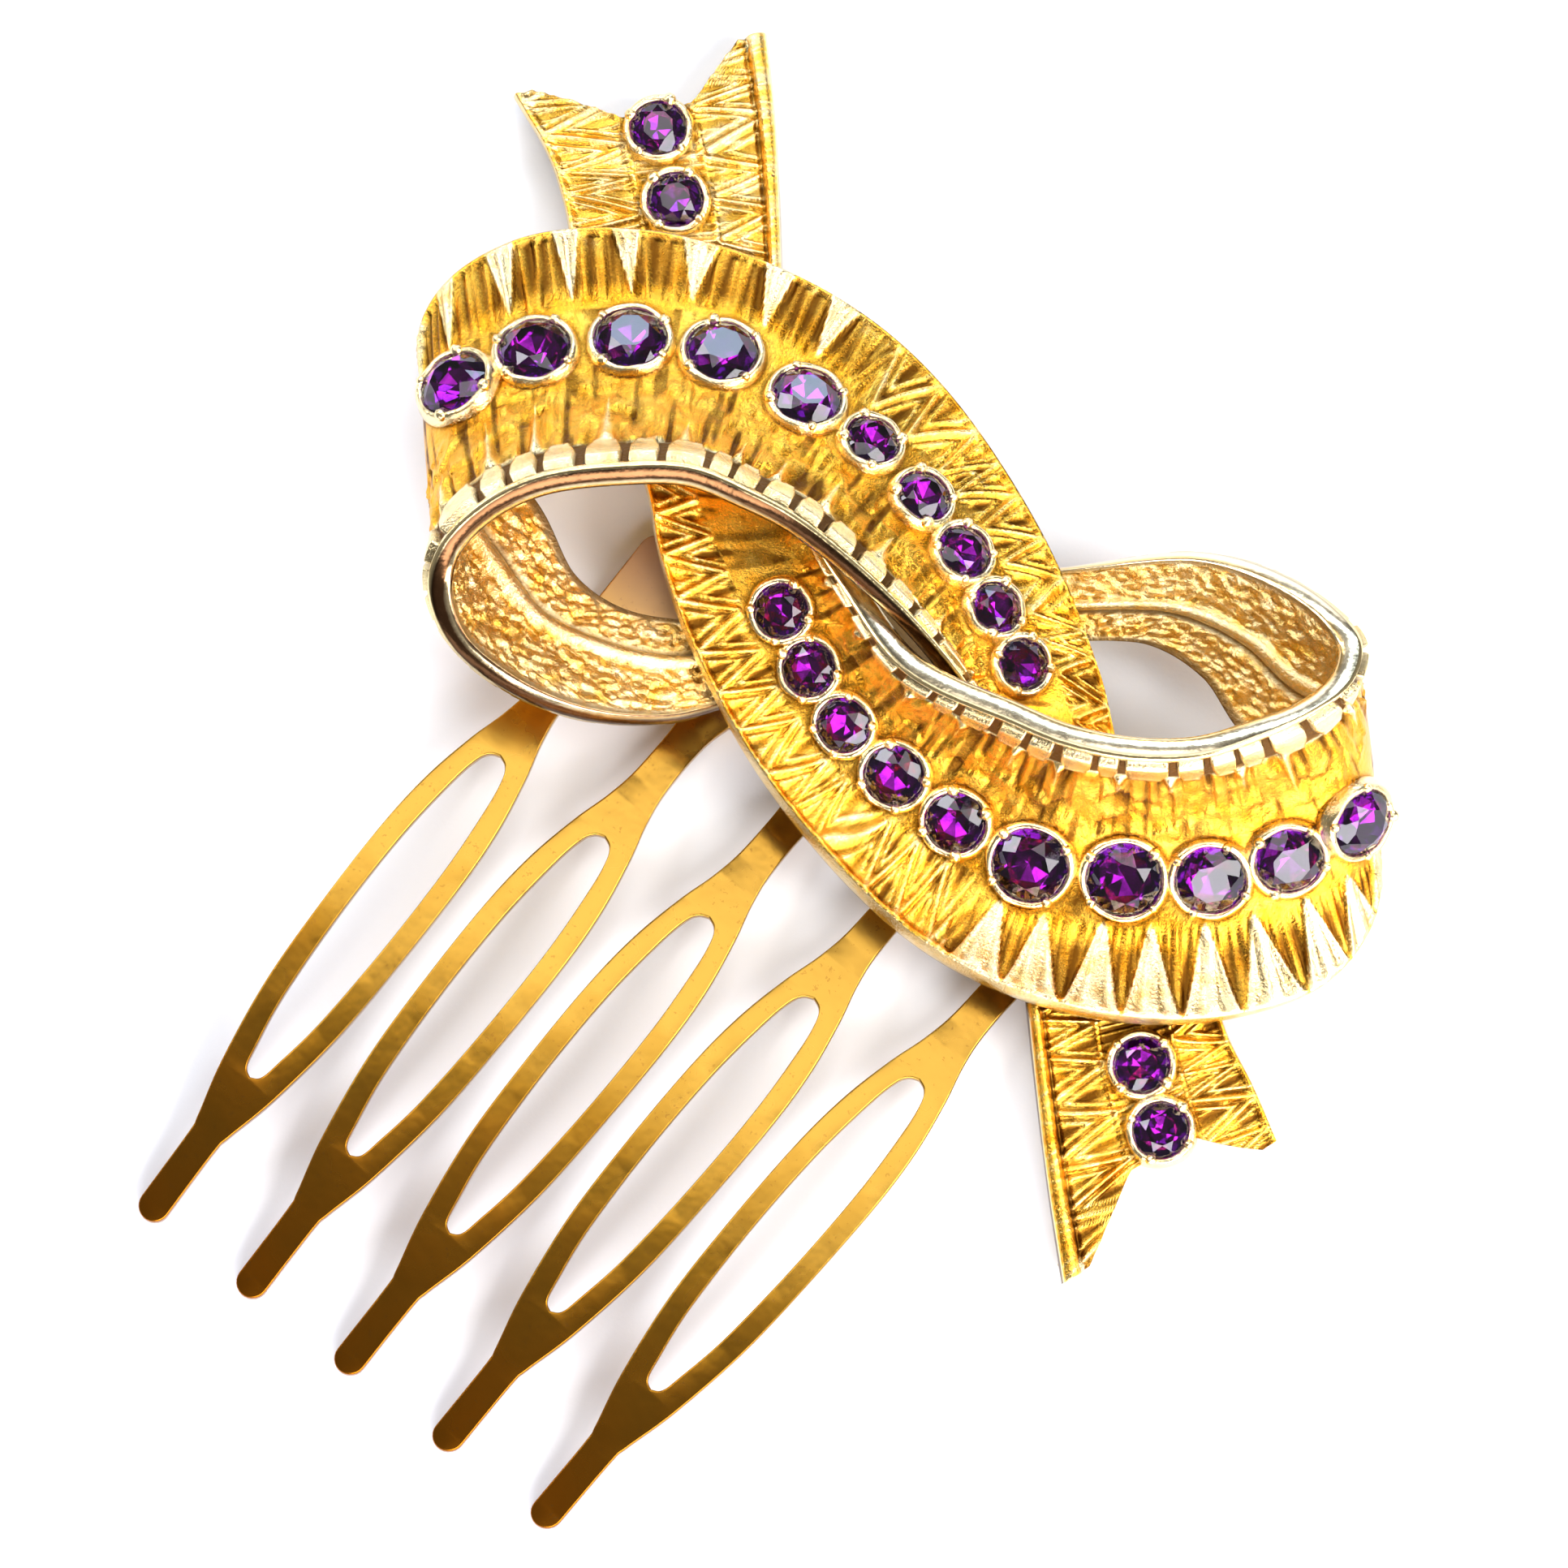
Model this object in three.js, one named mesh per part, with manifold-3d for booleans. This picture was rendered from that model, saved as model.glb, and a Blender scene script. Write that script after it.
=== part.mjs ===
// Decorative hair comb: a gilt bow of two cast ribbons set with 24 purple stones, soldered to a
// stamped five-tooth comb. Millimetres, +Z up. The part lies on the comb's back with its teeth to -Y.
import * as THREE from "three";
import { mergeVertices } from "three/addons/utils/BufferGeometryUtils.js";
import Module from "manifold-3d";

const wasm = await Module();
wasm.setup();

// Driving dimensions
const GAP = 0.3; // clearance left between pieces that touch on the real object
const SEAT_GAP = 0.15; // clearance round a stone in its seat
const WALL = 1.2; // thickness of the cast ribbons
const BOW_ANGLE = THREE.MathUtils.degToRad(37.9); // turn of the bow against the comb
const BOW_LIFT = 1.6; // height of the bow's own zero level above the comb's back face
const STONE_LINE = 0.45; // where the stone line lies across a ribbon, 0 outer edge to 1 rim
const TAIL_STONE = 3.6; // diameter
const UPPER_FIRST_STONE = 13.0; // stations of the loops' first stones
const LOWER_FIRST_STONE = 14.0;
// Each ribbon's row of stones from its loop to its tail, as the diameter and the metal before the girdle
const UPPER_ROW = [
  [4.6, 0], [4.6, 0.7], [4.6, 1.3], [4.6, 1.1], [4.4, 1.5], [3.5, 0.9], [3.5, 1.2], [3.5, 0.7], [3.3, 0.5],
  [3.3, 0.5],
];
const LOWER_ROW = [
  [4.4, 0], [4.4, 0.5], [4.5, 0.45], [4.8, 0.6], [4.8, 1.0], [3.9, 0.9], [3.9, 0.8], [3.5, 0.65], [3.5, 0.5],
  [3.5, 0.45],
];
const TAIL_STONES = [1.0, 1.95]; // stations of the two stones in a tail

const COMB_SHEET = 1.0;
const TOOTH_PITCH = 7.63; // at the tips
const TOOTH_FAN = 0.0147; // growth of the pitch for each millimetre from the tips
const TOOTH_LEAN = 0.022; // sideways lean of the teeth
const TOOTH_COUNT = 5;
const TOOTH_LENGTH = 46; // tip to spine
const TOOTH_ARCH = 3.0; // rise of a tooth's back face at mid length
const SPINE_DEPTH = 7;
const SPINE_OVERHANG = 1.5; // spine beyond the end teeth's axes
const TEETH_MIDDLE = 0.66; // the middle tooth's tip, from the bow's middle
const TOOTH_TIP = -57.6; // the tips, from the bow's middle

const GOLD = new THREE.MeshStandardMaterial({ color: 0xe3a72f, roughness: 0.28, metalness: 1 });
const COMB_GOLD = new THREE.MeshStandardMaterial({ color: 0xc9973c, roughness: 0.25, metalness: 1 });
const SOLDER = new THREE.MeshStandardMaterial({ color: 0x8f8478, roughness: 0.5, metalness: 1 });
const AMETHYST = new THREE.MeshStandardMaterial({ color: 0x4a1a8c, roughness: 0.05, metalness: 0 });

// Stations along each ribbon, from its tail to the hidden end behind its loop.
// Each is [outer edge, stone line, rim], as x, y and height in the bow's own frame.
const UPPER_STATIONS = [
  [[22.4, -31.8, 0.2], [16.6, -35.8, 0.2], [9.4, -40.5, 0.2]],
  [[20.9, -28.4, 0.7], [15.3, -31.2, 0.9], [8.5, -34.6, 0.7]],
  [[19.3, -25.2, 1.0], [14.1, -27.0, 1.1], [7.8, -28.8, 1.0]],
  [[17.9, -20.4, 1.4], [12.9, -20.6, 1.3], [7.1, -22.0, 1.4]],
  [[15.8, -14.4, 1.8], [11.0, -14.2, 1.5], [6.4, -15.0, 1.9]],
  [[12.9, -8.8, 4.6], [8.6, -8.0, 5.2], [5.0, -7.6, 7.0]],
  [[11.5, -3.5, 4.8], [6.7, -3.2, 6.4], [3.4, -5.0, 8.4]],
  [[7.9, 5.3, 4.5], [3.0, 3.7, 7.0], [-0.5, -0.5, 10.0]],
  [[2.0, 14.4, 3.9], [-2.5, 10.5, 6.6], [-6.6, 4.6, 11.6]],
  [[-3.5, 19.4, 3.7], [-6.6, 13.3, 6.2], [-10.0, 6.4, 12.4]],
  [[-10.3, 22.8, 3.7], [-11.8, 16.2, 5.5], [-13.4, 7.7, 12.9]],
  [[-17.5, 24.4, 3.5], [-17.0, 17.0, 5.2], [-17.6, 7.8, 13.0]],
  [[-24.1, 23.9, 2.6], [-23.1, 16.3, 5.2], [-22.8, 7.1, 12.6]],
  [[-28.7, 21.1, 1.4], [-27.8, 14.2, 5.2], [-26.2, 5.4, 11.8]],
  [[-30.1, 17.7, 0.8], [-29.8, 10.9, 4.6], [-28.5, 3.1, 10.6]],
  [[-28.1, 12.8, 0.8], [-28.3, 6.9, 4.2], [-29.1, 0.7, 9.6]],
  [[-23.4, 7.2, 1.2], [-25.7, 3.2, 4.0], [-28.0, -2.1, 8.4]],
  [[-21.0, 2.6, 1.4], [-23.0, -0.2, 3.6], [-24.8, -4.7, 7.2]],
  [[-18.0, 0.4, 1.4], [-19.2, -1.9, 2.9], [-20.3, -6.3, 5.4]],
  [[-14.6, -0.1, 1.2], [-14.7, -2.6, 2.0], [-15.0, -6.3, 3.2]],
  [[-11.0, 0.3, 1.0], [-10.8, -1.8, 1.2], [-10.3, -4.8, 1.6]],
];
const LOWER_STATIONS = [
  [[-24.4, 33.6, 0.2], [-17.0, 35.6, 0.2], [-8.9, 37.4, 0.2]],
  [[-22.3, 29.8, 0.7], [-15.5, 31.2, 0.9], [-8.4, 32.4, 0.7]],
  [[-21.2, 26.4, 1.0], [-14.4, 26.4, 1.1], [-8.1, 27.2, 1.0]],
  [[-20.4, 21.4, 1.6], [-13.6, 20.6, 1.8], [-7.9, 21.2, 1.6]],
  [[-18.6, 14.6, 2.4], [-12.6, 14.0, 2.4], [-7.6, 14.2, 2.6]],
  [[-16.1, 8.2, 4.8], [-11.0, 7.6, 5.2], [-7.0, 7.6, 6.4]],
  [[-15.2, 3.7, 5.0], [-9.5, 3.9, 5.2], [-5.6, 4.3, 7.2]],
  [[-13.2, -1.9, 4.8], [-7.7, 0.1, 5.0], [-4.0, 1.4, 8.4]],
  [[-8.6, -10.1, 4.4], [-3.9, -6.7, 4.6], [-0.2, -4.1, 10.4]],
  [[-0.9, -18.6, 3.9], [2.7, -12.4, 3.9], [6.2, -7.4, 11.8]],
  [[5.1, -22.3, 3.8], [7.4, -15.1, 3.8], [9.4, -8.8, 12.4]],
  [[12.4, -24.4, 3.8], [13.2, -16.0, 4.0], [13.4, -9.7, 12.8]],
  [[19.7, -24.3, 2.8], [18.6, -16.0, 4.4], [17.3, -9.6, 12.8]],
  [[25.8, -21.9, 1.6], [23.2, -14.8, 4.8], [20.6, -8.5, 12.4]],
  [[28.5, -17.3, 0.9], [27.3, -12.6, 5.0], [23.9, -6.9, 11.8]],
  [[27.9, -12.5, 0.8], [28.2, -8.0, 4.6], [26.4, -4.9, 10.8]],
  [[23.9, -9.5, 0.8], [26.5, -5.2, 4.2], [27.1, -2.5, 9.8]],
  [[20.6, -6.3, 1.2], [23.8, -3.7, 4.0], [26.1, -0.6, 8.8]],
  [[18.3, -2.9, 1.4], [20.9, -1.0, 3.6], [22.9, 2.0, 7.2]],
  [[14.5, -0.7, 1.2], [16.2, 1.1, 2.6], [17.8, 3.9, 4.9]],
  [[9.3, -0.9, 1.0], [9.2, 1.0, 1.2], [9.0, 3.4, 1.6]],
];
const ROWS_PER_STATION = 3;
const ACROSS = [0, 0.06, 0.2, 0.32, 0.45, 0.56, 0.68, 0.78, 0.88, 1];
const NOTCH_DEPTH = 0.72; // of the swallowtail's notch, in stations
const SHORT_ARM = 0.06; // the blunt ends of the swallowtail's arms, as shares of the width
const LONG_ARM = 0.12;
const NOTCH_FLANK = 0.26; // share of the width over which each side of the notch deepens

// Meshes and solids
function solidOf(geometry) {
  const bare = geometry.index ? geometry.toNonIndexed() : geometry.clone();
  bare.deleteAttribute("normal");
  bare.deleteAttribute("uv");
  const merged = mergeVertices(bare, 1e-4);
  const mesh = new wasm.Mesh({
    numProp: 3,
    vertProperties: new Float32Array(merged.attributes.position.array),
    triVerts: new Uint32Array(merged.index.array),
  });
  return new wasm.Manifold(mesh);
}

function geometryOf(solid) {
  const mesh = solid.getMesh();
  const geometry = new THREE.BufferGeometry();
  geometry.setAttribute("position", new THREE.BufferAttribute(mesh.vertProperties, 3));
  geometry.setIndex(new THREE.BufferAttribute(mesh.triVerts, 1));
  const flat = geometry.toNonIndexed();
  flat.computeVertexNormals();
  return flat;
}

function largestBody(solid) {
  return solid.decompose().sort((a, b) => b.volume() - a.volume())[0];
}

function named(name, geometry, material) {
  const mesh = new THREE.Mesh(geometry, material);
  mesh.name = name;
  return mesh;
}

// The ribbon's surface
const LAST = UPPER_STATIONS.length - 1;

function edgeCurves(stations) {
  const edge = (line) => stations.map((station) => new THREE.Vector3(...station[line]));
  return [0, 1, 2].map((line) => new THREE.CatmullRomCurve3(edge(line)));
}

// A parabola through the outer edge, the stone line and the rim of the section at a station.
function surfacePoint(curves, station, u) {
  const [outer, middle, rim] = curves.map((curve) => curve.getPoint(station / LAST));
  const weights = [
    ((u - STONE_LINE) * (u - 1)) / STONE_LINE,
    (u * (u - 1)) / (STONE_LINE * (STONE_LINE - 1)),
    (u * (u - STONE_LINE)) / (1 - STONE_LINE),
  ];
  outer.multiplyScalar(weights[0]);
  return outer.addScaledVector(middle, weights[1]).addScaledVector(rim, weights[2]);
}

function surfaceNormal(curves, station, u) {
  const step = 0.02;
  const before = Math.max(station - step, 0);
  const after = Math.min(station + step, LAST);
  const along = surfacePoint(curves, after, u).sub(surfacePoint(curves, before, u));
  const across = surfacePoint(curves, station, u + step).sub(surfacePoint(curves, station, u - step));
  return along.cross(across).normalize();
}

// How far the swallowtail's end is drawn in at u: nothing at the arms' tips, all of it in the middle.
function notch(u) {
  const rise = Math.min((u - SHORT_ARM) / NOTCH_FLANK, (1 - LONG_ARM - u) / NOTCH_FLANK, 1);
  return NOTCH_DEPTH * Math.max(rise, 0);
}

function rowStation(row, u) {
  const station = row / ROWS_PER_STATION;
  return station < 1 ? station + notch(u) * (1 - station) : station;
}

// A closed sheet between two offsets from the surface, widened by a margin at both edges.
function sheet(curves, top, bottom, margin) {
  const rows = LAST * ROWS_PER_STATION;
  const points = [];
  const columns = ACROSS.map((u) => u + margin * (2 * u - 1));
  for (const offset of [top, bottom]) {
    for (let row = 0; row <= rows; row++) {
      for (const u of columns) {
        const station = rowStation(row, u);
        const normal = surfaceNormal(curves, station, u);
        points.push(...surfacePoint(curves, station, u).addScaledVector(normal, offset));
      }
    }
  }
  const geometry = new THREE.BufferGeometry();
  geometry.setAttribute("position", new THREE.BufferAttribute(new Float32Array(points), 3));
  geometry.setIndex(sheetFaces(rows, columns.length));
  return geometry.translate(0, 0, BOW_LIFT);
}

function sheetFaces(rows, width) {
  const faces = [];
  const under = (rows + 1) * width;
  const quad = (a, b, c, d) => faces.push(a, b, c, a, c, d);
  for (let row = 0; row < rows; row++) {
    const start = row * width;
    for (let i = start; i < start + width - 1; i++) {
      quad(i, i + width, i + width + 1, i + 1);
      quad(under + i, under + i + 1, under + i + width + 1, under + i + width);
    }
    quad(start, under + start, under + start + width, start + width);
    const end = start + width - 1;
    quad(end, end + width, under + end + width, under + end);
  }
  const last = rows * width;
  for (let j = 0; j < width - 1; j++) {
    quad(j, j + 1, under + j + 1, under + j);
    quad(last + j, under + last + j, under + last + j + 1, last + j + 1);
  }
  return faces;
}

// Stones and their seats, each turned about +Z of its own frame, with the girdle at height 0
function lathe(profile, segments) {
  const geometry = new THREE.LatheGeometry(profile.map(([r, z]) => new THREE.Vector2(r, z)), segments);
  return geometry.rotateX(Math.PI / 2);
}

function stoneGeometry(diameter) {
  const r = diameter / 2;
  const profile = [[0, -0.9 * r], [r, -0.08 * r], [r, 0.08 * r], [0.56 * r, 0.45 * r], [0, 0.45 * r]];
  return lathe(profile, 10);
}

function collarGeometry(diameter) {
  const r = diameter / 2 + 0.65;
  return lathe([[0, -1.0], [r, -1.0], [r, 0.25], [r - 0.3, 0.5], [0, 0.5]], 12);
}

function seatGeometry(diameter) {
  const r = diameter / 2 + SEAT_GAP;
  const hole = 0.35 * r;
  const bottom = -0.98 * r - WALL;
  return lathe([[0, bottom], [hole, bottom], [hole, -0.68 * r], [r, -0.2], [r, 3], [0, 3]], 10);
}

// Places along the stone line, as the frames of the stones' girdles.
function stoneFrame(curves, station) {
  const normal = surfaceNormal(curves, station, STONE_LINE);
  const place = surfacePoint(curves, station, STONE_LINE).addScaledVector(normal, 0.35);
  place.z += BOW_LIFT;
  const turn = new THREE.Quaternion().setFromUnitVectors(new THREE.Vector3(0, 0, 1), normal);
  return new THREE.Matrix4().compose(place, turn, new THREE.Vector3(1, 1, 1));
}

// The station that lies a given distance along the stone line from another, towards the tail.
function stationAfter(curves, station, distance) {
  const step = 0.005;
  let place = surfacePoint(curves, station, STONE_LINE);
  let travelled = 0;
  while (travelled < distance) {
    station -= step;
    const next = surfacePoint(curves, station, STONE_LINE);
    travelled += next.distanceTo(place);
    place = next;
  }
  return station;
}

// The loop's first stone is at a given station, and the rest follow by arc length.
function stonesOf(curves, first, loopRow) {
  const stones = [];
  let station = first;
  loopRow.forEach(([diameter, web], i) => {
    if (i > 0) station = stationAfter(curves, station, (loopRow[i - 1][0] + diameter) / 2 + web);
    stones.push({ diameter, frame: stoneFrame(curves, station) });
  });
  for (const tail of TAIL_STONES) stones.push({ diameter: TAIL_STONE, frame: stoneFrame(curves, tail) });
  return stones;
}

// One ribbon's solid, in the bow's frame before it is turned into place
function ribbonSolid(curves, stones) {
  let solid = solidOf(sheet(curves, 0, -WALL, 0));
  for (const { diameter, frame } of stones) {
    solid = solid.add(solidOf(collarGeometry(diameter).applyMatrix4(frame)));
  }
  for (const { diameter, frame } of stones) {
    solid = solid.subtract(solidOf(seatGeometry(diameter).applyMatrix4(frame)));
  }
  return solid;
}

// The comb: a flat outline with slots, cut from a sheet that arches along the teeth
const TOOTH_EDGE = [
  [1, 1.0], [5.8, 1.02], [7, 1.2], [10.5, 2.05], [16, 2.85], [22, 3.1], [28, 3.1], [32, 2.8], [35.5, 2.15],
  [38, 1.5], [40.4, 1.15], [44, 1.15], [46, 1.6],
];
const SLOT_EDGE = [
  [10.7, 0], [11.1, 0.55], [12.4, 0.85], [16, 1.4], [22, 1.72], [28, 1.7], [32.5, 1.35], [34.6, 1.0],
  [35.4, 0.6], [35.7, 0],
];
const toothCurve = new THREE.SplineCurve(TOOTH_EDGE.map(([t, w]) => new THREE.Vector2(t, w)));
const SPINE_BACK = TOOTH_TIP + TOOTH_LENGTH;
const SPINE_TOP = SPINE_BACK + SPINE_DEPTH;

// The place beside tooth i's axis at a distance t from its tip, w to the right.
function besideTooth(i, t, w) {
  const pitch = TOOTH_PITCH + TOOTH_FAN * t;
  const axis = TEETH_MIDDLE + TOOTH_LEAN * t + (i - (TOOTH_COUNT - 1) / 2) * pitch;
  return new THREE.Vector2(axis + w, TOOTH_TIP + t);
}

function slotHole(i) {
  const side = new THREE.SplineCurve(SLOT_EDGE.map(([t, w]) => new THREE.Vector2(t, w))).getPoints(20);
  const right = side.map((p) => besideTooth(i, p.x, p.y));
  const left = side.slice(1, -1).reverse().map((p) => besideTooth(i, p.x, -p.y));
  return new THREE.Path([...right, ...left]);
}

function toothOutline(i) {
  const side = toothCurve.getSpacedPoints(20);
  const tip = [...Array(5).keys()].map((k) => (Math.PI * (k + 1)) / 6);
  return [
    ...side.slice().reverse().map((p) => besideTooth(i, p.x, -p.y)),
    ...tip.map((a) => besideTooth(i, 1 - Math.sin(a), -Math.cos(a))),
    ...side.map((p) => besideTooth(i, p.x, p.y)),
  ];
}

function combOutline() {
  const corner = 1.2;
  const left = besideTooth(0, TOOTH_LENGTH, -SPINE_OVERHANG).x;
  const right = besideTooth(TOOTH_COUNT - 1, TOOTH_LENGTH, SPINE_OVERHANG).x;
  const shape = new THREE.Shape();
  shape.moveTo(left, SPINE_BACK);
  for (let i = 0; i < TOOTH_COUNT; i++) toothOutline(i).forEach((p) => shape.lineTo(p.x, p.y));
  shape.lineTo(right, SPINE_BACK);
  shape.lineTo(right, SPINE_TOP - corner);
  shape.absarc(right - corner, SPINE_TOP - corner, corner, 0, Math.PI / 2, false);
  shape.absarc(left + corner, SPINE_TOP - corner, corner, Math.PI / 2, Math.PI, false);
  for (let i = 0; i < TOOTH_COUNT; i++) shape.holes.push(slotHole(i));
  return shape;
}

// The sheet's back face: flat under the spine, then a parabola that comes down again at the tips.
function backHeight(y) {
  const share = (SPINE_BACK - y) / TOOTH_LENGTH;
  return share <= 0 ? 0 : 4 * TOOTH_ARCH * share * (1 - share) * Math.min(1, share / 0.08);
}

function archedSheet() {
  const steps = 14;
  const ys = [...Array(steps + 1).keys()].map((k) => SPINE_BACK - (k / steps) * (TOOTH_LENGTH + 1));
  const back = [SPINE_TOP + 1, ...ys].map((y) => new THREE.Vector2(y, Math.max(backHeight(y), 0)));
  const front = back.slice().reverse().map((p) => new THREE.Vector2(p.x, p.y + COMB_SHEET));
  const width = (TOOTH_COUNT + 1) * TOOTH_PITCH;
  const geometry = new THREE.ExtrudeGeometry(new THREE.Shape([...back, ...front]), {
    depth: width,
    bevelEnabled: false,
  });
  const axes = new THREE.Matrix4().makeBasis(
    new THREE.Vector3(0, 1, 0),
    new THREE.Vector3(0, 0, 1),
    new THREE.Vector3(1, 0, 0),
  );
  return geometry.applyMatrix4(axes).translate(TEETH_MIDDLE - width / 2, 0, 0);
}

function combSolid() {
  const settings = { depth: 10, bevelEnabled: false, curveSegments: 4 };
  const block = new THREE.ExtrudeGeometry(combOutline(), settings);
  return solidOf(block.translate(0, 0, -2)).intersect(solidOf(archedSheet()));
}

// Solder joints between the spine and the bow, as places in the bow's frame
const SOLDER_PADS = { solder_left: [-13.2, -2.4], solder_middle: [-5.3, -7.6], solder_right: [8.8, -14.9] };
const SOLDER_RADIUS = 1.9;
const SOLDER_TOP = 6.5;

function solderSolid([x, y], keepClear) {
  const bottom = COMB_SHEET + GAP;
  const pad = new THREE.CylinderGeometry(SOLDER_RADIUS * 0.8, SOLDER_RADIUS, SOLDER_TOP - bottom, 16);
  pad.rotateX(Math.PI / 2).translate(x, y, (SOLDER_TOP + bottom) / 2);
  const solid = keepClear.reduce((left, other) => left.subtract(other), solidOf(pad));
  return solid.decompose().sort((a, b) => a.boundingBox().min[2] - b.boundingBox().min[2])[0];
}

// Assembly
function buildBow() {
  const bow = new THREE.Group();
  const upperCurves = edgeCurves(UPPER_STATIONS);
  const lowerCurves = edgeCurves(LOWER_STATIONS);
  const upperStones = stonesOf(upperCurves, UPPER_FIRST_STONE, UPPER_ROW);
  const lowerStones = stonesOf(lowerCurves, LOWER_FIRST_STONE, LOWER_ROW);
  const thickened = (curves) => solidOf(sheet(curves, GAP, -WALL - GAP, 0.02));
  const nearUpper = thickened(upperCurves);
  const upper = ribbonSolid(upperCurves, upperStones);
  const lower = largestBody(ribbonSolid(lowerCurves, lowerStones).subtract(nearUpper));
  bow.add(named("ribbon_upper", geometryOf(upper), GOLD));
  bow.add(named("ribbon_lower", geometryOf(lower), GOLD));
  addStones(bow, "stone_upper_", upperStones);
  addStones(bow, "stone_lower_", lowerStones);
  for (const [name, place] of Object.entries(SOLDER_PADS)) {
    const pad = solderSolid(place, [nearUpper, thickened(lowerCurves)]);
    bow.add(named(name, geometryOf(pad), SOLDER));
  }
  bow.rotation.z = BOW_ANGLE;
  return bow;
}

function addStones(bow, prefix, stones) {
  stones.forEach(({ diameter, frame }, i) => {
    const geometry = stoneGeometry(diameter).applyMatrix4(frame);
    bow.add(named(prefix + String(i + 1).padStart(2, "0"), geometry, AMETHYST));
  });
}

// Moves a group so that the bottom middle of its box is the origin.
function standOnOrigin(group) {
  const box = new THREE.Box3().setFromObject(group, true);
  const middle = box.getCenter(new THREE.Vector3());
  group.position.set(-middle.x, -middle.y, -box.min.z);
}

const hairComb = new THREE.Group();
hairComb.add(named("comb", geometryOf(combSolid()), COMB_GOLD), buildBow());
standOnOrigin(hairComb);

export default hairComb;
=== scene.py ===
"""The looks of the gilt bow hair comb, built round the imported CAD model. Metres, in the CAD's frame."""
import math

import bmesh
import bpy
import numpy as np
from mathutils import Matrix, Vector


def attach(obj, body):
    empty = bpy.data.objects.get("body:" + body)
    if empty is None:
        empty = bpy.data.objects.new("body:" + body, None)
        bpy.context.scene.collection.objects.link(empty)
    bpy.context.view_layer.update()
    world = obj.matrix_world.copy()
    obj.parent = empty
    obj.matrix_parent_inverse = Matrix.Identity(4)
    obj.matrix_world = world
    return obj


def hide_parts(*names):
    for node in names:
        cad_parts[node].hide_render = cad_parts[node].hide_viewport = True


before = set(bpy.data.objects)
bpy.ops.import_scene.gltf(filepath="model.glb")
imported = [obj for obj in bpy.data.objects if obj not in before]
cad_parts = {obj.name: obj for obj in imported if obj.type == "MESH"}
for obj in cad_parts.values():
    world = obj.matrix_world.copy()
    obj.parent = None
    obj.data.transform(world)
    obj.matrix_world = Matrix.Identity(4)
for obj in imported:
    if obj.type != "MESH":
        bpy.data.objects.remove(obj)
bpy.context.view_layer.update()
MM = 0.001
RANDOM = np.random.default_rng(7)

# The design's own dimensions in millimetres, as in the CAD model
WALL = 1.2
BOW_TURN = math.radians(37.9)
BOW_LIFT = 1.6
BOW_MIDDLE = np.array([1.342, 16.778, 0.0])
STONE_LINE = 0.45
TAIL_STONE = 3.6
SEAT_DEPTH, CULET_DEPTH = 1.15, 0.6
# Each ribbon's row of stones from its loop to its tail, as the diameter and the metal before the girdle
UPPER_ROW = [
    (4.6, 0), (4.6, 0.7), (4.6, 1.3), (4.6, 1.1), (4.4, 1.5),
    (3.5, 0.9), (3.5, 1.2), (3.5, 0.7), (3.3, 0.5), (3.3, 0.5),
]
LOWER_ROW = [
    (4.4, 0), (4.4, 0.5), (4.5, 0.45), (4.8, 0.6), (4.8, 1.0),
    (3.9, 0.9), (3.9, 0.8), (3.5, 0.65), (3.5, 0.5), (3.5, 0.45),
]
UPPER_FIRST_STONE, LOWER_FIRST_STONE = 13.0, 14.0
TAIL_STONES = (1.0, 1.95)
NOTCH_DEPTH = 0.72
UPPER_STATIONS = np.array([
    [[22.4, -31.8, 0.2], [16.6, -35.8, 0.2], [9.4, -40.5, 0.2]],
    [[20.9, -28.4, 0.7], [15.3, -31.2, 0.9], [8.5, -34.6, 0.7]],
    [[19.3, -25.2, 1.0], [14.1, -27.0, 1.1], [7.8, -28.8, 1.0]],
    [[17.9, -20.4, 1.4], [12.9, -20.6, 1.3], [7.1, -22.0, 1.4]],
    [[15.8, -14.4, 1.8], [11.0, -14.2, 1.5], [6.4, -15.0, 1.9]],
    [[12.9, -8.8, 4.6], [8.6, -8.0, 5.2], [5.0, -7.6, 7.0]],
    [[11.5, -3.5, 4.8], [6.7, -3.2, 6.4], [3.4, -5.0, 8.4]],
    [[7.9, 5.3, 4.5], [3.0, 3.7, 7.0], [-0.5, -0.5, 10.0]],
    [[2.0, 14.4, 3.9], [-2.5, 10.5, 6.6], [-6.6, 4.6, 11.6]],
    [[-3.5, 19.4, 3.7], [-6.6, 13.3, 6.2], [-10.0, 6.4, 12.4]],
    [[-10.3, 22.8, 3.7], [-11.8, 16.2, 5.5], [-13.4, 7.7, 12.9]],
    [[-17.5, 24.4, 3.5], [-17.0, 17.0, 5.2], [-17.6, 7.8, 13.0]],
    [[-24.1, 23.9, 2.6], [-23.1, 16.3, 5.2], [-22.8, 7.1, 12.6]],
    [[-28.7, 21.1, 1.4], [-27.8, 14.2, 5.2], [-26.2, 5.4, 11.8]],
    [[-30.1, 17.7, 0.8], [-29.8, 10.9, 4.6], [-28.5, 3.1, 10.6]],
    [[-28.1, 12.8, 0.8], [-28.3, 6.9, 4.2], [-29.1, 0.7, 9.6]],
    [[-23.4, 7.2, 1.2], [-25.7, 3.2, 4.0], [-28.0, -2.1, 8.4]],
    [[-21.0, 2.6, 1.4], [-23.0, -0.2, 3.6], [-24.8, -4.7, 7.2]],
    [[-18.0, 0.4, 1.4], [-19.2, -1.9, 2.9], [-20.3, -6.3, 5.4]],
    [[-14.6, -0.1, 1.2], [-14.7, -2.6, 2.0], [-15.0, -6.3, 3.2]],
    [[-11.0, 0.3, 1.0], [-10.8, -1.8, 1.2], [-10.3, -4.8, 1.6]],
])
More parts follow.
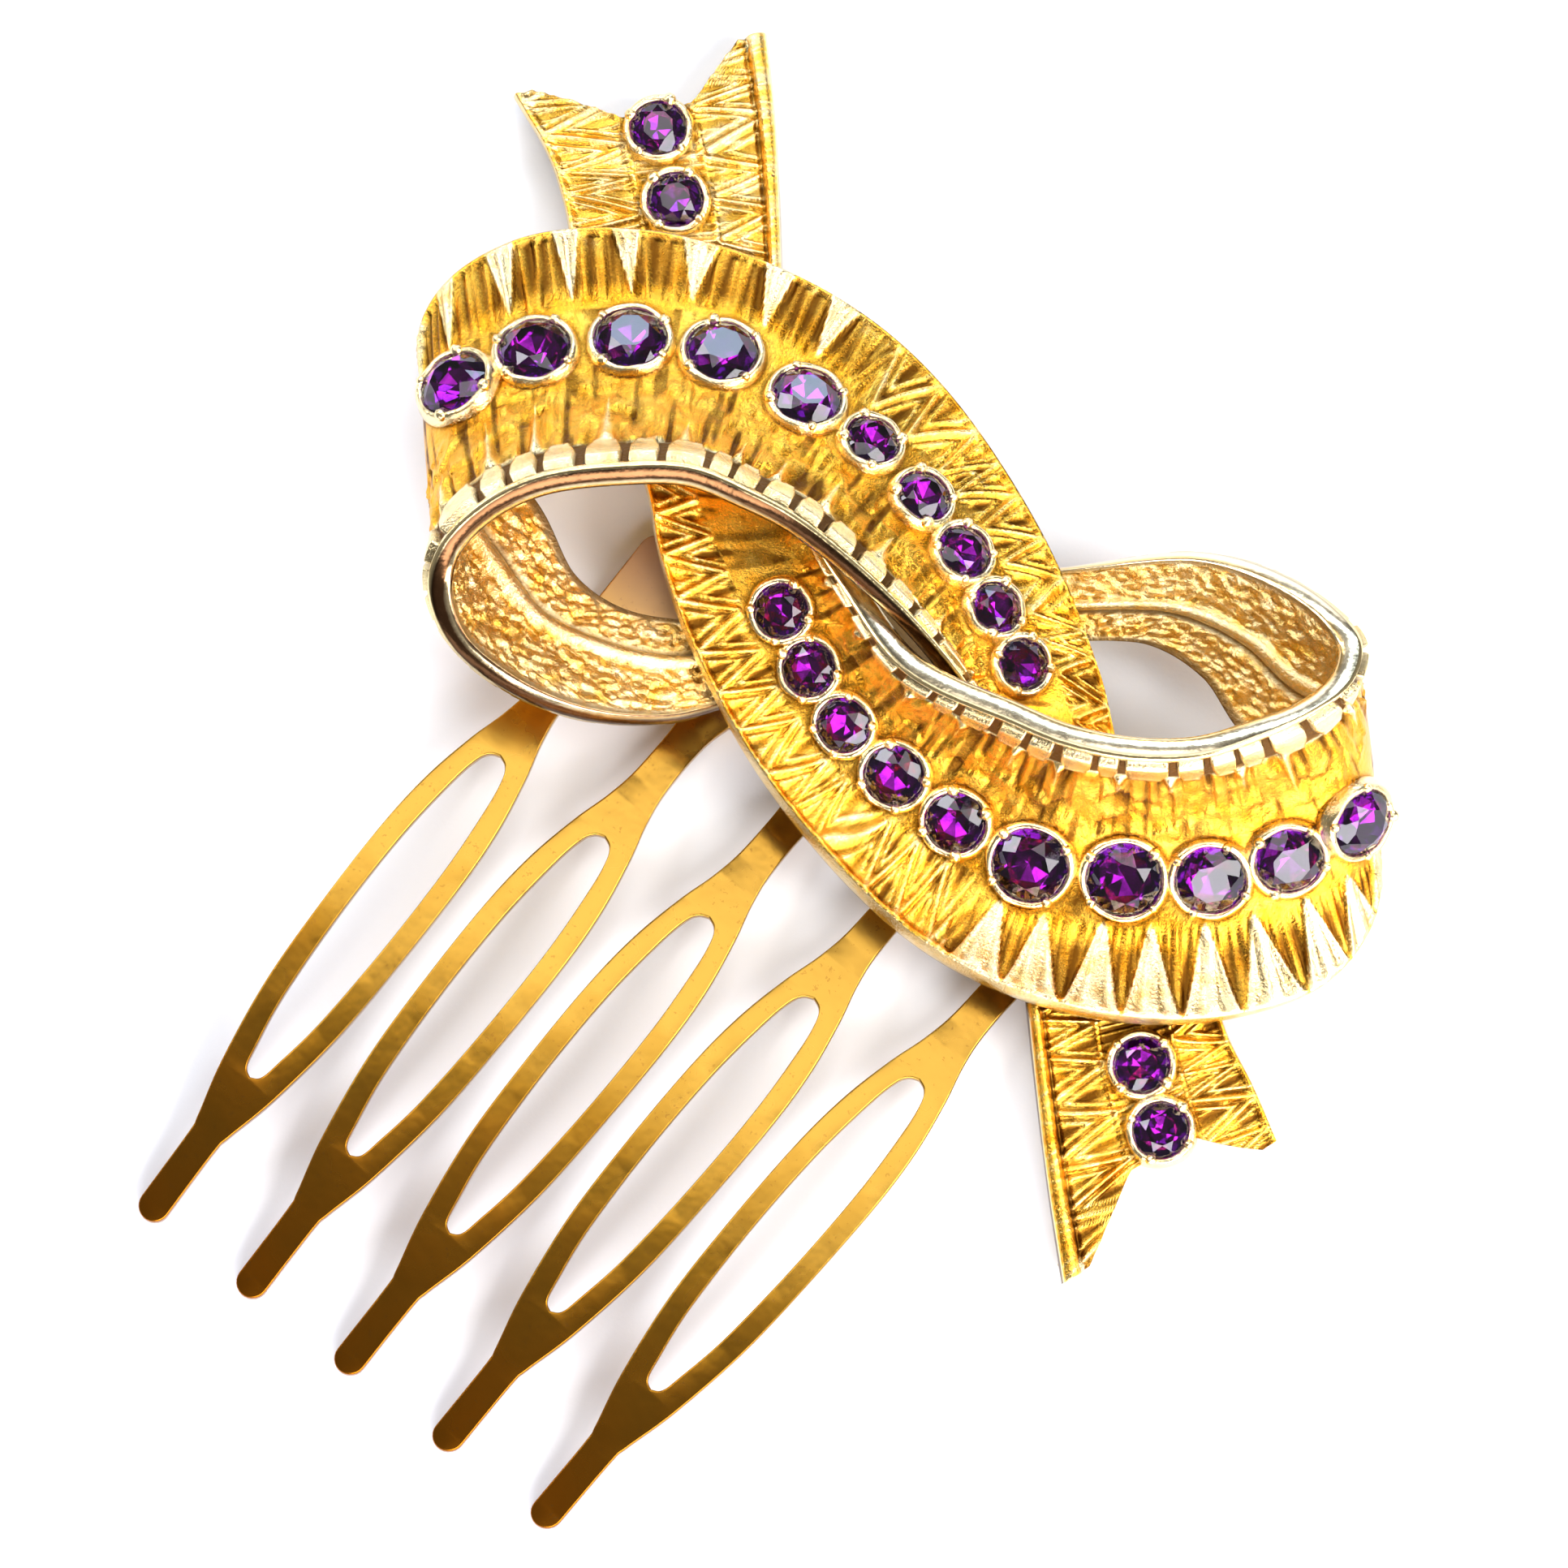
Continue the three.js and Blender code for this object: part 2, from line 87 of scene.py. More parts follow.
LOWER_STATIONS = np.array([
    [[-24.4, 33.6, 0.2], [-17.0, 35.6, 0.2], [-8.9, 37.4, 0.2]],
    [[-22.3, 29.8, 0.7], [-15.5, 31.2, 0.9], [-8.4, 32.4, 0.7]],
    [[-21.2, 26.4, 1.0], [-14.4, 26.4, 1.1], [-8.1, 27.2, 1.0]],
    [[-20.4, 21.4, 1.6], [-13.6, 20.6, 1.8], [-7.9, 21.2, 1.6]],
    [[-18.6, 14.6, 2.4], [-12.6, 14.0, 2.4], [-7.6, 14.2, 2.6]],
    [[-16.1, 8.2, 4.8], [-11.0, 7.6, 5.2], [-7.0, 7.6, 6.4]],
    [[-15.2, 3.7, 5.0], [-9.5, 3.9, 5.2], [-5.6, 4.3, 7.2]],
    [[-13.2, -1.9, 4.8], [-7.7, 0.1, 5.0], [-4.0, 1.4, 8.4]],
    [[-8.6, -10.1, 4.4], [-3.9, -6.7, 4.6], [-0.2, -4.1, 10.4]],
    [[-0.9, -18.6, 3.9], [2.7, -12.4, 3.9], [6.2, -7.4, 11.8]],
    [[5.1, -22.3, 3.8], [7.4, -15.1, 3.8], [9.4, -8.8, 12.4]],
    [[12.4, -24.4, 3.8], [13.2, -16.0, 4.0], [13.4, -9.7, 12.8]],
    [[19.7, -24.3, 2.8], [18.6, -16.0, 4.4], [17.3, -9.6, 12.8]],
    [[25.8, -21.9, 1.6], [23.2, -14.8, 4.8], [20.6, -8.5, 12.4]],
    [[28.5, -17.3, 0.9], [27.3, -12.6, 5.0], [23.9, -6.9, 11.8]],
    [[27.9, -12.5, 0.8], [28.2, -8.0, 4.6], [26.4, -4.9, 10.8]],
    [[23.9, -9.5, 0.8], [26.5, -5.2, 4.2], [27.1, -2.5, 9.8]],
    [[20.6, -6.3, 1.2], [23.8, -3.7, 4.0], [26.1, -0.6, 8.8]],
    [[18.3, -2.9, 1.4], [20.9, -1.0, 3.6], [22.9, 2.0, 7.2]],
    [[14.5, -0.7, 1.2], [16.2, 1.1, 2.6], [17.8, 3.9, 4.9]],
    [[9.3, -0.9, 1.0], [9.2, 1.0, 1.2], [9.0, 3.4, 1.6]],
])
LAST = len(UPPER_STATIONS) - 1

# The ribbons' relief, in millimetres
ROWS = 1000
WALL_STEPS = 5
STRAND_PLEAT, TAIL_PLEAT = 2.3, 2.6
PLEAT_HEIGHT = 0.5
SPIKE_PITCH = 4.6
SPIKE_HEIGHT = 0.5
DENTIL_PITCH = 2.9
DENTIL_HEIGHT = 0.65
NUGGET_HEIGHT = 0.5
CLOSE_WEDGES = 0.6  # wedges with a greater share of the edge start beside the stones and have a middle rib
TAIL_END = (3.6, 4.4)  # stations over which the tail's relief gives way to the strand's
TAIL_CHANNEL, STRAND_CHANNEL, LOOP_CHANNEL = 2.0, 2.1, 2.6  # half widths of the stones' channel
LIP_HEIGHT = 0.34
EDGE_BULGE = 0.16
SEAT_RISE = 0.35
TIP_STATION, TIP_SHARE = 0.12, 0.95


def smooth(low, high, x):
    """0 below low, 1 above high, with a smooth rise between."""
    t = np.clip((x - low) / (high - low), 0.0, 1.0)
    return t * t * (3 - 2 * t)


# ---------------------------------------------------------------- noise

def hashed(ix, iy, seed):
    """A repeatable number from 0 to 1 for each whole-number cell."""
    n = np.sin(ix * 127.1 + iy * 311.7 + seed * 74.7) * 43758.5453
    return n - np.floor(n)


def value_noise(x, y, seed):
    ix, iy = np.floor(x), np.floor(y)
    fx, fy = smooth(0, 1, x - ix), smooth(0, 1, y - iy)
    low = hashed(ix, iy, seed) * (1 - fx) + hashed(ix + 1, iy, seed) * fx
    high = hashed(ix, iy + 1, seed) * (1 - fx) + hashed(ix + 1, iy + 1, seed) * fx
    return low * (1 - fy) + high * fy


def crumple(x, y, seed):
    """Facets like crumpled foil: each cell is a small plane tilted its own way, from 0 to about 1."""
    best = np.full(x.shape, 9.0)
    height = np.zeros(x.shape)
    for dx in (-1, 0, 1):
        for dy in (-1, 0, 1):
            ix, iy = np.floor(x) + dx, np.floor(y) + dy
            px = ix + hashed(ix, iy, seed)
            py = iy + hashed(ix, iy, seed + 1)
            away = np.hypot(x - px, y - py)
            tilt_x = hashed(ix, iy, seed + 2) - 0.5
            tilt_y = hashed(ix, iy, seed + 3) - 0.5
            plane = 0.5 + tilt_x * (x - px) * 1.6 + tilt_y * (y - py) * 1.6
            plane = plane + (hashed(ix, iy, seed + 4) - 0.5) * 0.5
            closer = away < best
            best = np.where(closer, away, best)
            height = np.where(closer, plane, height)
    return height


# ---------------------------------------------------------------- the ribbon's surface

def spline(points, t):
    """A centripetal Catmull-Rom curve through points, at parameters t counted in points."""
    before, after = 2 * points[0] - points[1], 2 * points[-1] - points[-2]
    p = np.vstack([before, points, after])
    k = np.clip(np.floor(t).astype(int), 0, len(points) - 2)
    w = (t - k)[:, None]
    p0, p1, p2, p3 = p[k], p[k + 1], p[k + 2], p[k + 3]
    d0, d1, d2 = (np.linalg.norm(b - a, axis=1)[:, None] ** 0.5 for a, b in ((p0, p1), (p1, p2), (p2, p3)))
    m1 = ((p1 - p0) / d0 - (p2 - p0) / (d0 + d1) + (p2 - p1) / d1) * d1
    m2 = ((p2 - p1) / d1 - (p3 - p1) / (d1 + d2) + (p3 - p2) / d2) * d1
    c2 = -3 * p1 + 3 * p2 - 2 * m1 - m2
    c3 = 2 * p1 - 2 * p2 + m1 + m2
    return p1 + m1 * w + c2 * w**2 + c3 * w**3


def surface(stations, k, u):
    """Points of the ribbon at stations k and shares u across, 0 at the outer edge and 1 at the rim."""
    flat = np.ravel(k)
    outer, middle, rim = (spline(stations[:, line], flat).reshape(k.shape + (3,)) for line in range(3))
    a = (u - STONE_LINE) * (u - 1) / STONE_LINE
    b = u * (u - 1) / (STONE_LINE * (STONE_LINE - 1))
    c = u * (u - STONE_LINE) / (1 - STONE_LINE)
    return outer * a[..., None] + middle * b[..., None] + rim * c[..., None]


def normals(stations, k, u):
    step = 0.02
    low, high = np.maximum(k - step, 0), np.minimum(k + step, LAST)
    along = surface(stations, high, u) - surface(stations, low, u)
    across = surface(stations, k, u + step) - surface(stations, k, u - step)
    n = np.cross(along, across)
    return n / np.linalg.norm(n, axis=-1, keepdims=True)


def along_row(stations):
    """Stations and the arc lengths of the stone line there."""
    line = np.linspace(0, LAST, 4000)
    middle = surface(stations, line, np.full_like(line, STONE_LINE))
    steps = np.linalg.norm(np.diff(middle, axis=0), axis=1)
    return line, np.concatenate([[0], np.cumsum(steps)])


def to_frame(points):
    """Millimetres in the bow's frame to metres in the CAD's frame."""
    c, s = math.cos(BOW_TURN), math.sin(BOW_TURN)
    rotation = np.array([[c, s, 0], [-s, c, 0], [0, 0, 1]])
    lifted = points + np.array([0, 0, BOW_LIFT])
    return (lifted @ rotation + BOW_MIDDLE) * MM


# ---------------------------------------------------------------- where the stones sit

def stone_seats(stations, first, loop_row):
    """The stones of one ribbon, as (diameter, place, normal, direction along the row)."""
    line, length = along_row(stations)
    here = np.interp(first, line, length)
    places = []
    for i, (diameter, web) in enumerate(loop_row):
        if i:
            here -= (loop_row[i - 1][0] + diameter) / 2 + web
        places.append((diameter, float(np.interp(here, length, line))))
    places += [(TAIL_STONE, k) for k in TAIL_STONES]
    seats = []
    for diameter, k in places:
        at = np.array([k])
        u = np.array([STONE_LINE])
        n = normals(stations, at, u)[0]
        ahead = surface(stations, at + 0.01, u)[0] - surface(stations, at - 0.01, u)[0]
        ahead -= n * ahead.dot(n)
        place = surface(stations, at, u)[0] + n * SEAT_RISE
        seats.append((diameter, place, n, ahead / np.linalg.norm(ahead)))
    return seats


# ---------------------------------------------------------------- relief

def needle(distance, width):
    """A sharp ridge: 1 on its line, falling in straight flanks to 0 at its half width."""
    return np.clip(1 - np.abs(distance) / width, 0, 1)


def pleats(arc, t, pitch, width, seed):
    """The outer flange: raised wedges that point at the stones, with sunk, ribbed fields between them.

    t runs from 0 beside the stones to 1 at the edge, and width is the wedges' share of the edge."""
    phase = arc / pitch + 0.22 * (value_noise(arc / pitch * 0.6, 0 * t, seed) - 0.5)
    cell = np.round(phase)
    lean = 0.16 * (hashed(cell, 0 * cell, seed + 1) - 0.5)
    middle = 2 * np.abs(phase - cell - lean * (1 - t))
    start = (0.02 + 0.16 * hashed(cell, 0 * cell, seed + 2)) * (width < CLOSE_WEDGES)
    half = width * (0.14 + 0.86 * np.clip((t - start) / (1 - start), 0, 1)) * smooth(start, start + 0.1, t)
    wedge = smooth(-0.01, 0.06, half - middle) * (half > 0)
    across = middle / np.maximum(half, 0.05)
    crest = np.abs(2 * np.clip(across, 0, 1) - 1)
    if width > CLOSE_WEDGES:
        crest = np.maximum(crest, needle(across - 0.45 + 0.3 * t, 0.16))
    streak = value_noise(arc / 0.42, 1.1 * t, seed + 5)
    ribs = np.clip(0.6 * needle(np.abs((middle * 2.3 + 0.5 * streak) % 1 - 0.5), 0.5) + 0.6 * streak, 0, 1)
    sunk = smooth(0.02, 0.22, t)
    top = PLEAT_HEIGHT * (0.5 + 0.5 * t) * (0.45 + 0.55 * crest)
    field = (0.34 * ribs - 0.28) * sunk
    height = top * wedge + field * (1 - wedge)
    # Painted shade: the fields darken over their outer part, and so do the wedges' flanks away from the
    # crest; the crests are painted pale as highlights.
    shade = (1 - wedge) * (0.2 * sunk + 0.95 * smooth(0.16, 0.4, t)) * (1.2 - 0.8 * ribs)
    shade = shade + 0.3 * wedge * smooth(0.6, 0.1, crest) * smooth(0.25, 0.5, t)
    unhighlit = (1 - wedge) * (1 - 0.4 * smooth(0.5, 0.9, t)) + 0.12 * wedge * (1 - crest)
    return height, shade, unhighlit


def rays(arc, t, pitch, seed):
    """Needle-thin ridges that zigzag across a flange, with flat slips between them painted darker as shade;
    the ridges are painted pale as highlights.
    """
    phase = arc / pitch + 0.5 * (value_noise(arc / pitch * 0.9, 0 * t, seed) - 0.5)
    saw = 2 * np.abs(phase - np.round(phase))
    flank = (saw - t) * pitch / 2
    main = needle(flank, 0.30)
    second = np.maximum(needle(flank - 0.46, 0.17), needle(flank + 0.50, 0.17))
    third = 0.7 * needle((phase * 4.0 % 1 - 0.5) * pitch / 4, 0.14)
    height = np.maximum(np.maximum(0.46 * main, 0.3 * second), 0.22 * third) - 0.14
    crest = np.maximum(np.maximum(main, second), third)
    hollow = value_noise(phase * 1.7, 2.2 * t, seed + 3)
    shade = (1 - crest) * (0.25 + 0.85 * smooth(0.3, 0.7, hollow))
    return height, shade, 0.3 + 0.7 * (1 - crest)


def nuggets(arc, across, t, seed):
    """The inner flange: crumpled lumps, with pointed spikes that rise from the rim."""
    coarse = crumple(arc / 2.1, across / 1.5, seed)
    fine = crumple(arc / 0.9, across / 0.8, seed + 9)
    streak = value_noise(arc / 0.45, across / 3.0, seed + 12) - 0.5
    near_rim = smooth(0.25, 0.6, t)
    lumps = (0.6 * NUGGET_HEIGHT * (coarse - 0.5) + 0.2 * NUGGET_HEIGHT * (fine - 0.5)) * (1 - 0.4 * near_rim)
    lumps = lumps + (0.2 + 0.2 * near_rim) * streak
    phase = arc / SPIKE_PITCH + 0.5 * (value_noise(arc / SPIKE_PITCH, 0 * t, seed + 3) - 0.5)
    cell = np.round(phase)
    start = 0.16 + 0.3 * hashed(cell, 0 * cell, seed + 4)
    half = 0.36 * np.clip((t - start) / (0.76 - start), 0, 1)
    middle = 2 * np.abs(phase - cell)
    spike = needle(middle, np.maximum(half, 0.001)) ** 0.7
    height = lumps * (1 - 0.8 * spike) + SPIKE_HEIGHT * spike * smooth(start, 0.7, t)
    low = np.clip(0.5 - lumps / NUGGET_HEIGHT * 0.75, 0, 1)
    hollow = needle(middle - half - 0.18, 0.24) * smooth(0.45, 0.7, t)
    # Painted shade in the low lumps and in the hollows beside the spikes; the radial streaks are darkened as
    # well, and the spikes are painted pale as highlights.
    dark = smooth(0.5, 0.95, low) * 0.5 + 0.75 * smooth(0.05, 0.32, -streak) + 0.85 * hollow
    shade = dark * (1 - smooth(0, 0.3, spike))
    return height - 0.22 * hollow, shade, 0.95 - 0.85 * spike - 0.2 * smooth(0.55, 0.8, coarse)


def rim_band(arc, t, seed):
    """The row of blocks along the rim, then the rim's narrow lip, with painted shade in the gaps between the
    blocks and on a line at the lip.
    """
    phase = arc / DENTIL_PITCH + 0.5 * (value_noise(arc / DENTIL_PITCH * 0.8, 0 * t, seed) - 0.5)
    middle = 2 * np.abs(phase - np.round(phase))
    sides = smooth(0.0, 0.06, 0.80 - middle - 0.25 * smooth(0.8, 0.68, t))
    row = smooth(0.665, 0.69, t) * (1 - smooth(0.92, 0.935, t))
    slope = 0.5 + 0.5 * smooth(0.68, 0.9, t)
    lip = smooth(0.945, 0.965, t)
    height = DENTIL_HEIGHT * row * sides * slope + lip * 0.3 - 0.1 * row * (1 - sides)
    shade = 1.1 * row * (1 - sides) + 0.7 * smooth(0.925, 0.94, t) * (1 - lip)
    return height, shade, smooth(0.655, 0.67, t)


def tail_relief(arc, t_out, t_in, seed):
    """The tails: zigzag ridges from both edges to the stones, and a thick roll along the rim side."""
    outer, outer_shade, outer_unhighlit = rays(arc, t_out, TAIL_PLEAT, seed)
    inner, inner_shade, inner_unhighlit = rays(arc + 1.1, t_in, TAIL_PLEAT, seed + 1)
    roll = np.sqrt(np.clip(1 - ((t_in - 0.91) / 0.1) ** 2, 0, 1))
    groove = needle(t_in - 0.79, 0.05)
    inside = t_in > 0.8
    inner = np.where(inside, 0.12 + 0.62 * roll, inner) - 0.15 * groove
    # painted shade on the roll's flanks and in the groove beside it
    inner_shade = np.where(inside, 0.85 * smooth(0.3, 0.05, roll), inner_shade) + 0.7 * groove
    lip = smooth(0.9, 0.95, t_out)
    outer, outer_shade = outer * (1 - lip) + 0.3 * lip, outer_shade * (1 - lip)
    channel = needle(np.maximum(t_out, t_in) - 0.06, 0.06)
    side = t_out > t_in
    height = np.where(side, outer, inner) + 0.3 * channel
    shade = np.where(side, outer_shade, inner_shade) * (1 - channel)
    return height, shade, np.where(side, outer_unhighlit, inner_unhighlit)


def blend(weight, first, second):
    return tuple(a * (1 - weight) + b * weight for a, b in zip(first, second, strict=True))


def front_relief(arc, across, k, t_out, t_in, kind, seed):
    """Height, painted shade (partly patina) and a painted light value of the visible face: low values paint a
    pale highlight, high values the orange of hollows.

    t_out and t_in run from 0 at the channel to 1 at the outer edge and at the rim."""
    loop = pleats(arc, t_out, kind["pleat"], kind["wedge"], seed)
    strand = rays(arc, t_out, STRAND_PLEAT, seed + 20)
    outer, outer_shade, outer_unhighlit = blend(1 - smooth(*kind["strand"], k), loop, strand)
    lip = smooth(0.93, 0.97, t_out)
    outer, outer_shade = outer * (1 - lip) + LIP_HEIGHT * lip, outer_shade * (1 - lip)
    inner, inner_shade, inner_unhighlit = nuggets(arc, across, t_in, seed + 40)
    band, band_shade, on_band = rim_band(arc, t_in, seed + 50)
    inner = inner * (1 - on_band) * smooth(0.0, 0.08, t_in) + band
    inner_shade = inner_shade * (1 - on_band) + band_shade
    # the rim band is painted pale, a painted highlight on the blocks
    inner_unhighlit = inner_unhighlit * (1 - on_band)
    side = t_out > 0
    height = np.where(side, outer * smooth(0.0, 0.1, t_out), inner)
    body = height, np.where(side, outer_shade, inner_shade), np.where(side, outer_unhighlit, inner_unhighlit)
    height, shade, unhighlit = tail_relief(arc, t_out, t_in, seed + 60)
    # the tail factor scales the tail's painted shade and painted light: below 1 the tail is painted lighter,
    # as lit
    tail = height, shade * kind["tail"], unhighlit * kind["tail"]
    return blend(1 - smooth(*TAIL_END, k), body, tail)


def back_relief(arc, across, u, seed):
    """The inside: two grainy bands, with the smooth back of the stones' channel and a groove between, with
    painted shade in the groove, the grain's pits and along both edges.
    """
    grain = value_noise(arc / 0.42, across / 0.3, seed) - 0.5
    pits = crumple(arc / 0.9, across / 0.6, seed + 9) - 0.5
    ridge = np.sqrt(np.clip(1 - ((u - 0.51) / 0.065) ** 2, 0, 1))
    groove = needle(u - 0.415, 0.045)
    rough = smooth(0.05, 0.09, u) * (1 - smooth(0.93, 0.97, u))
    rough = rough * (1 - smooth(0.37, 0.39, u) * (1 - smooth(0.56, 0.58, u)))
    height = rough * (0.26 * grain + 0.3 * pits) + 0.5 * ridge - 0.25 * groove
    shade = rough * np.clip(-0.12 - 0.8 * grain - 0.4 * pits, 0, 0.5) + 0.9 * groove
    shade = shade + 0.8 * (1 - smooth(0.03, 0.08, u)) + 0.6 * smooth(0.95, 0.99, u)
    return height, shade, 0.1 + 0.2 * rough


# ---------------------------------------------------------------- the ribbons' meshes

def columns():
    """Shares across the ribbon, closest together where the relief is finest."""
    outer = np.linspace(0, 0.36, 30, endpoint=False)
    channel = np.linspace(0.36, 0.54, 12, endpoint=False)
    inner = np.linspace(0.54, 0.88, 26, endpoint=False)
    rim = np.linspace(0.88, 1.0, 20)
    return np.concatenate([outer, channel, inner, rim])


def ribbon_grid(stations):
    line, length = along_row(stations)
    rows = np.interp(np.linspace(0, length[-1], ROWS), length, line)
    row, across = np.meshgrid(rows, columns(), indexing="ij")
    rise = np.clip(np.minimum((across - 0.06) / 0.26, (0.88 - across) / 0.26), 0, 1)
    k = np.where(row < 1, row + NOTCH_DEPTH * rise * (1 - row), row)
    return k, across, np.interp(k, line, length)


def wall_points(front, back, outwards):
    """The rounded edge between the front's and the back's last points, as rows from front to back."""
    share = (np.arange(1, WALL_STEPS + 1) / (WALL_STEPS + 1))[None, :, None]
    bulge = EDGE_BULGE * np.sin(math.pi * share)
    return front[:, None] * (1 - share) + back[:, None] * share + outwards[:, None] * bulge


def ribbon_section(stations, seats, kind):
    """Rings of points round the ribbon's section, row by row, and what the material needs to know at each."""
    k, u, arc = ribbon_grid(stations)
    base, n = surface(stations, k, u), normals(stations, k, u)
    middle = surface(stations, k, np.full_like(k, STONE_LINE))
    across = np.linalg.norm(base - middle, axis=-1)
    low, high = kind["strand"]
    loop_or_strand = np.where(k < (low + high) / 2, STRAND_CHANNEL, LOOP_CHANNEL)
    half_channel = np.where(k < sum(TAIL_END) / 2, TAIL_CHANNEL, loop_or_strand)
    edge = np.linalg.norm(surface(stations, k, 0 * u) - middle, axis=-1)
    rim = np.linalg.norm(surface(stations, k, 0 * u + 1) - middle, axis=-1)
    outward = u < STONE_LINE
    t_out = np.where(outward, np.clip((across - half_channel) / (edge - half_channel), 0, 1), 0)
    t_in = np.where(outward, 0, np.clip((across - half_channel) / (rim - half_channel), 0, 1))
    signed = np.where(outward, -across, across)
    height, shade, unhighlit = front_relief(arc, signed, k, t_out, t_in, kind, kind["seed"])
    for diameter, place, _, _ in seats:
        away = np.linalg.norm(base - place, axis=-1)
        pit = 1 - smooth(diameter / 2 + 0.1, diameter / 2 + 0.45, away)
        height = height * (1 - pit) - SEAT_DEPTH * pit
        # painted shade in a ring round each stone, darkening the channel between stones
        shade_ring = 1 - smooth(diameter / 2 + 0.5, diameter / 2 + 1.0, away)
        shade = np.maximum(shade * (1 - pit), 0.8 * shade_ring)
    back, back_shade, back_unhighlit = back_relief(arc, signed, u, kind["seed"] + 80)
    front = base + n * height[..., None]
    rear = base - n * (WALL + np.clip(back, -0.3, 0.5))[..., None]
    side = base[:, -1] - base[:, -2]
    side = side / np.linalg.norm(side, axis=-1, keepdims=True)
    other = base[:, 0] - base[:, 1]
    other = other / np.linalg.norm(other, axis=-1, keepdims=True)
    rim_wall = wall_points(front[:, -1], rear[:, -1], side)
    edge_wall = wall_points(rear[:, 0], front[:, 0], other)
    rings = np.concatenate([front, rim_wall, rear[:, ::-1], edge_wall], axis=1)
    band = np.broadcast_to(np.arange(1, WALL_STEPS + 1) / (WALL_STEPS + 1), (ROWS, WALL_STEPS))
    plain = np.full((ROWS, WALL_STEPS), 0.15)
    shades = np.concatenate([shade, band, back_shade[:, ::-1], plain], axis=1)
    all_unhighlit = np.concatenate([unhighlit, plain, back_unhighlit[:, ::-1], plain], axis=1)
    return rings, shades, all_unhighlit


def section_faces(width):
    """Quads along the rings, then the two end caps, and the material slot of each face."""
    count = 2 * width + 2 * WALL_STEPS
    i, j = np.meshgrid(np.arange(ROWS - 1), np.arange(count), indexing="ij")
    n = (j + 1) % count
    quads = np.stack([i * count + j, i * count + n, (i + 1) * count + n, (i + 1) * count + j], axis=-1)
    place = np.arange(count)
    on_rim = (place >= width - 1) & (place < width + WALL_STEPS)
    on_back = (place >= width + WALL_STEPS) & (place < 2 * width + WALL_STEPS - 1)
    slots = np.tile(np.where(on_rim, 2, np.where(on_back, 1, 0)), ROWS - 1)
    caps = []
    turn_back = 2 * width + WALL_STEPS - 1
    for start, flip in ((0, 1), ((ROWS - 1) * count, -1)):
        for c in range(width - 1):
            caps.append([start + c, start + turn_back - c, start + turn_back - c - 1, start + c + 1][::flip])
        rim_cap = [start + c for c in range(width - 1, width + WALL_STEPS + 1)]
        edge_cap = [start + c % count for c in range(turn_back, count + 1)]
        caps += [rim_cap[::-flip], edge_cap[::-flip]]
    return quads.reshape(-1, 4).tolist() + caps, slots.tolist() + [0] * len(caps)


def new_object(name, vertices, faces, materials, slot=None, face_slots=None):
    mesh = bpy.data.meshes.new(name)
    mesh.from_pydata(np.asarray(vertices).tolist(), [], faces)
    for material in materials:
        mesh.materials.append(material)
    if face_slots is not None:
        mesh.polygons.foreach_set("material_index", np.asarray(face_slots, dtype=np.int32))
    mesh.polygons.foreach_set("use_smooth", np.ones(len(mesh.polygons), dtype=bool))
    mesh.update()
    piece = bpy.data.objects.new(name, mesh)
    bpy.context.scene.collection.objects.link(piece)
    if slot:
        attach(piece, "root")
    return piece


def store(mesh, name, values):
    attribute = mesh.attributes.new(name, "FLOAT", "POINT")
    attribute.data.foreach_set("value", np.asarray(values, dtype=np.float32).ravel())


def ribbon(name, stations, seats, kind, materials):
    rings, shade, unhighlit = ribbon_section(stations, seats, kind)
    faces, slots = section_faces(len(columns()))
    piece = new_object(name, to_frame(rings.reshape(-1, 3)), faces, materials, "bow_gilt", slots)
    store(piece.data, "shade", shade)
    # painted light: low values make crests pale as highlights, high values make hollows orange
    store(piece.data, "unhighlit", unhighlit)
    outward(piece)
    return piece


# ---------------------------------------------------------------- materials

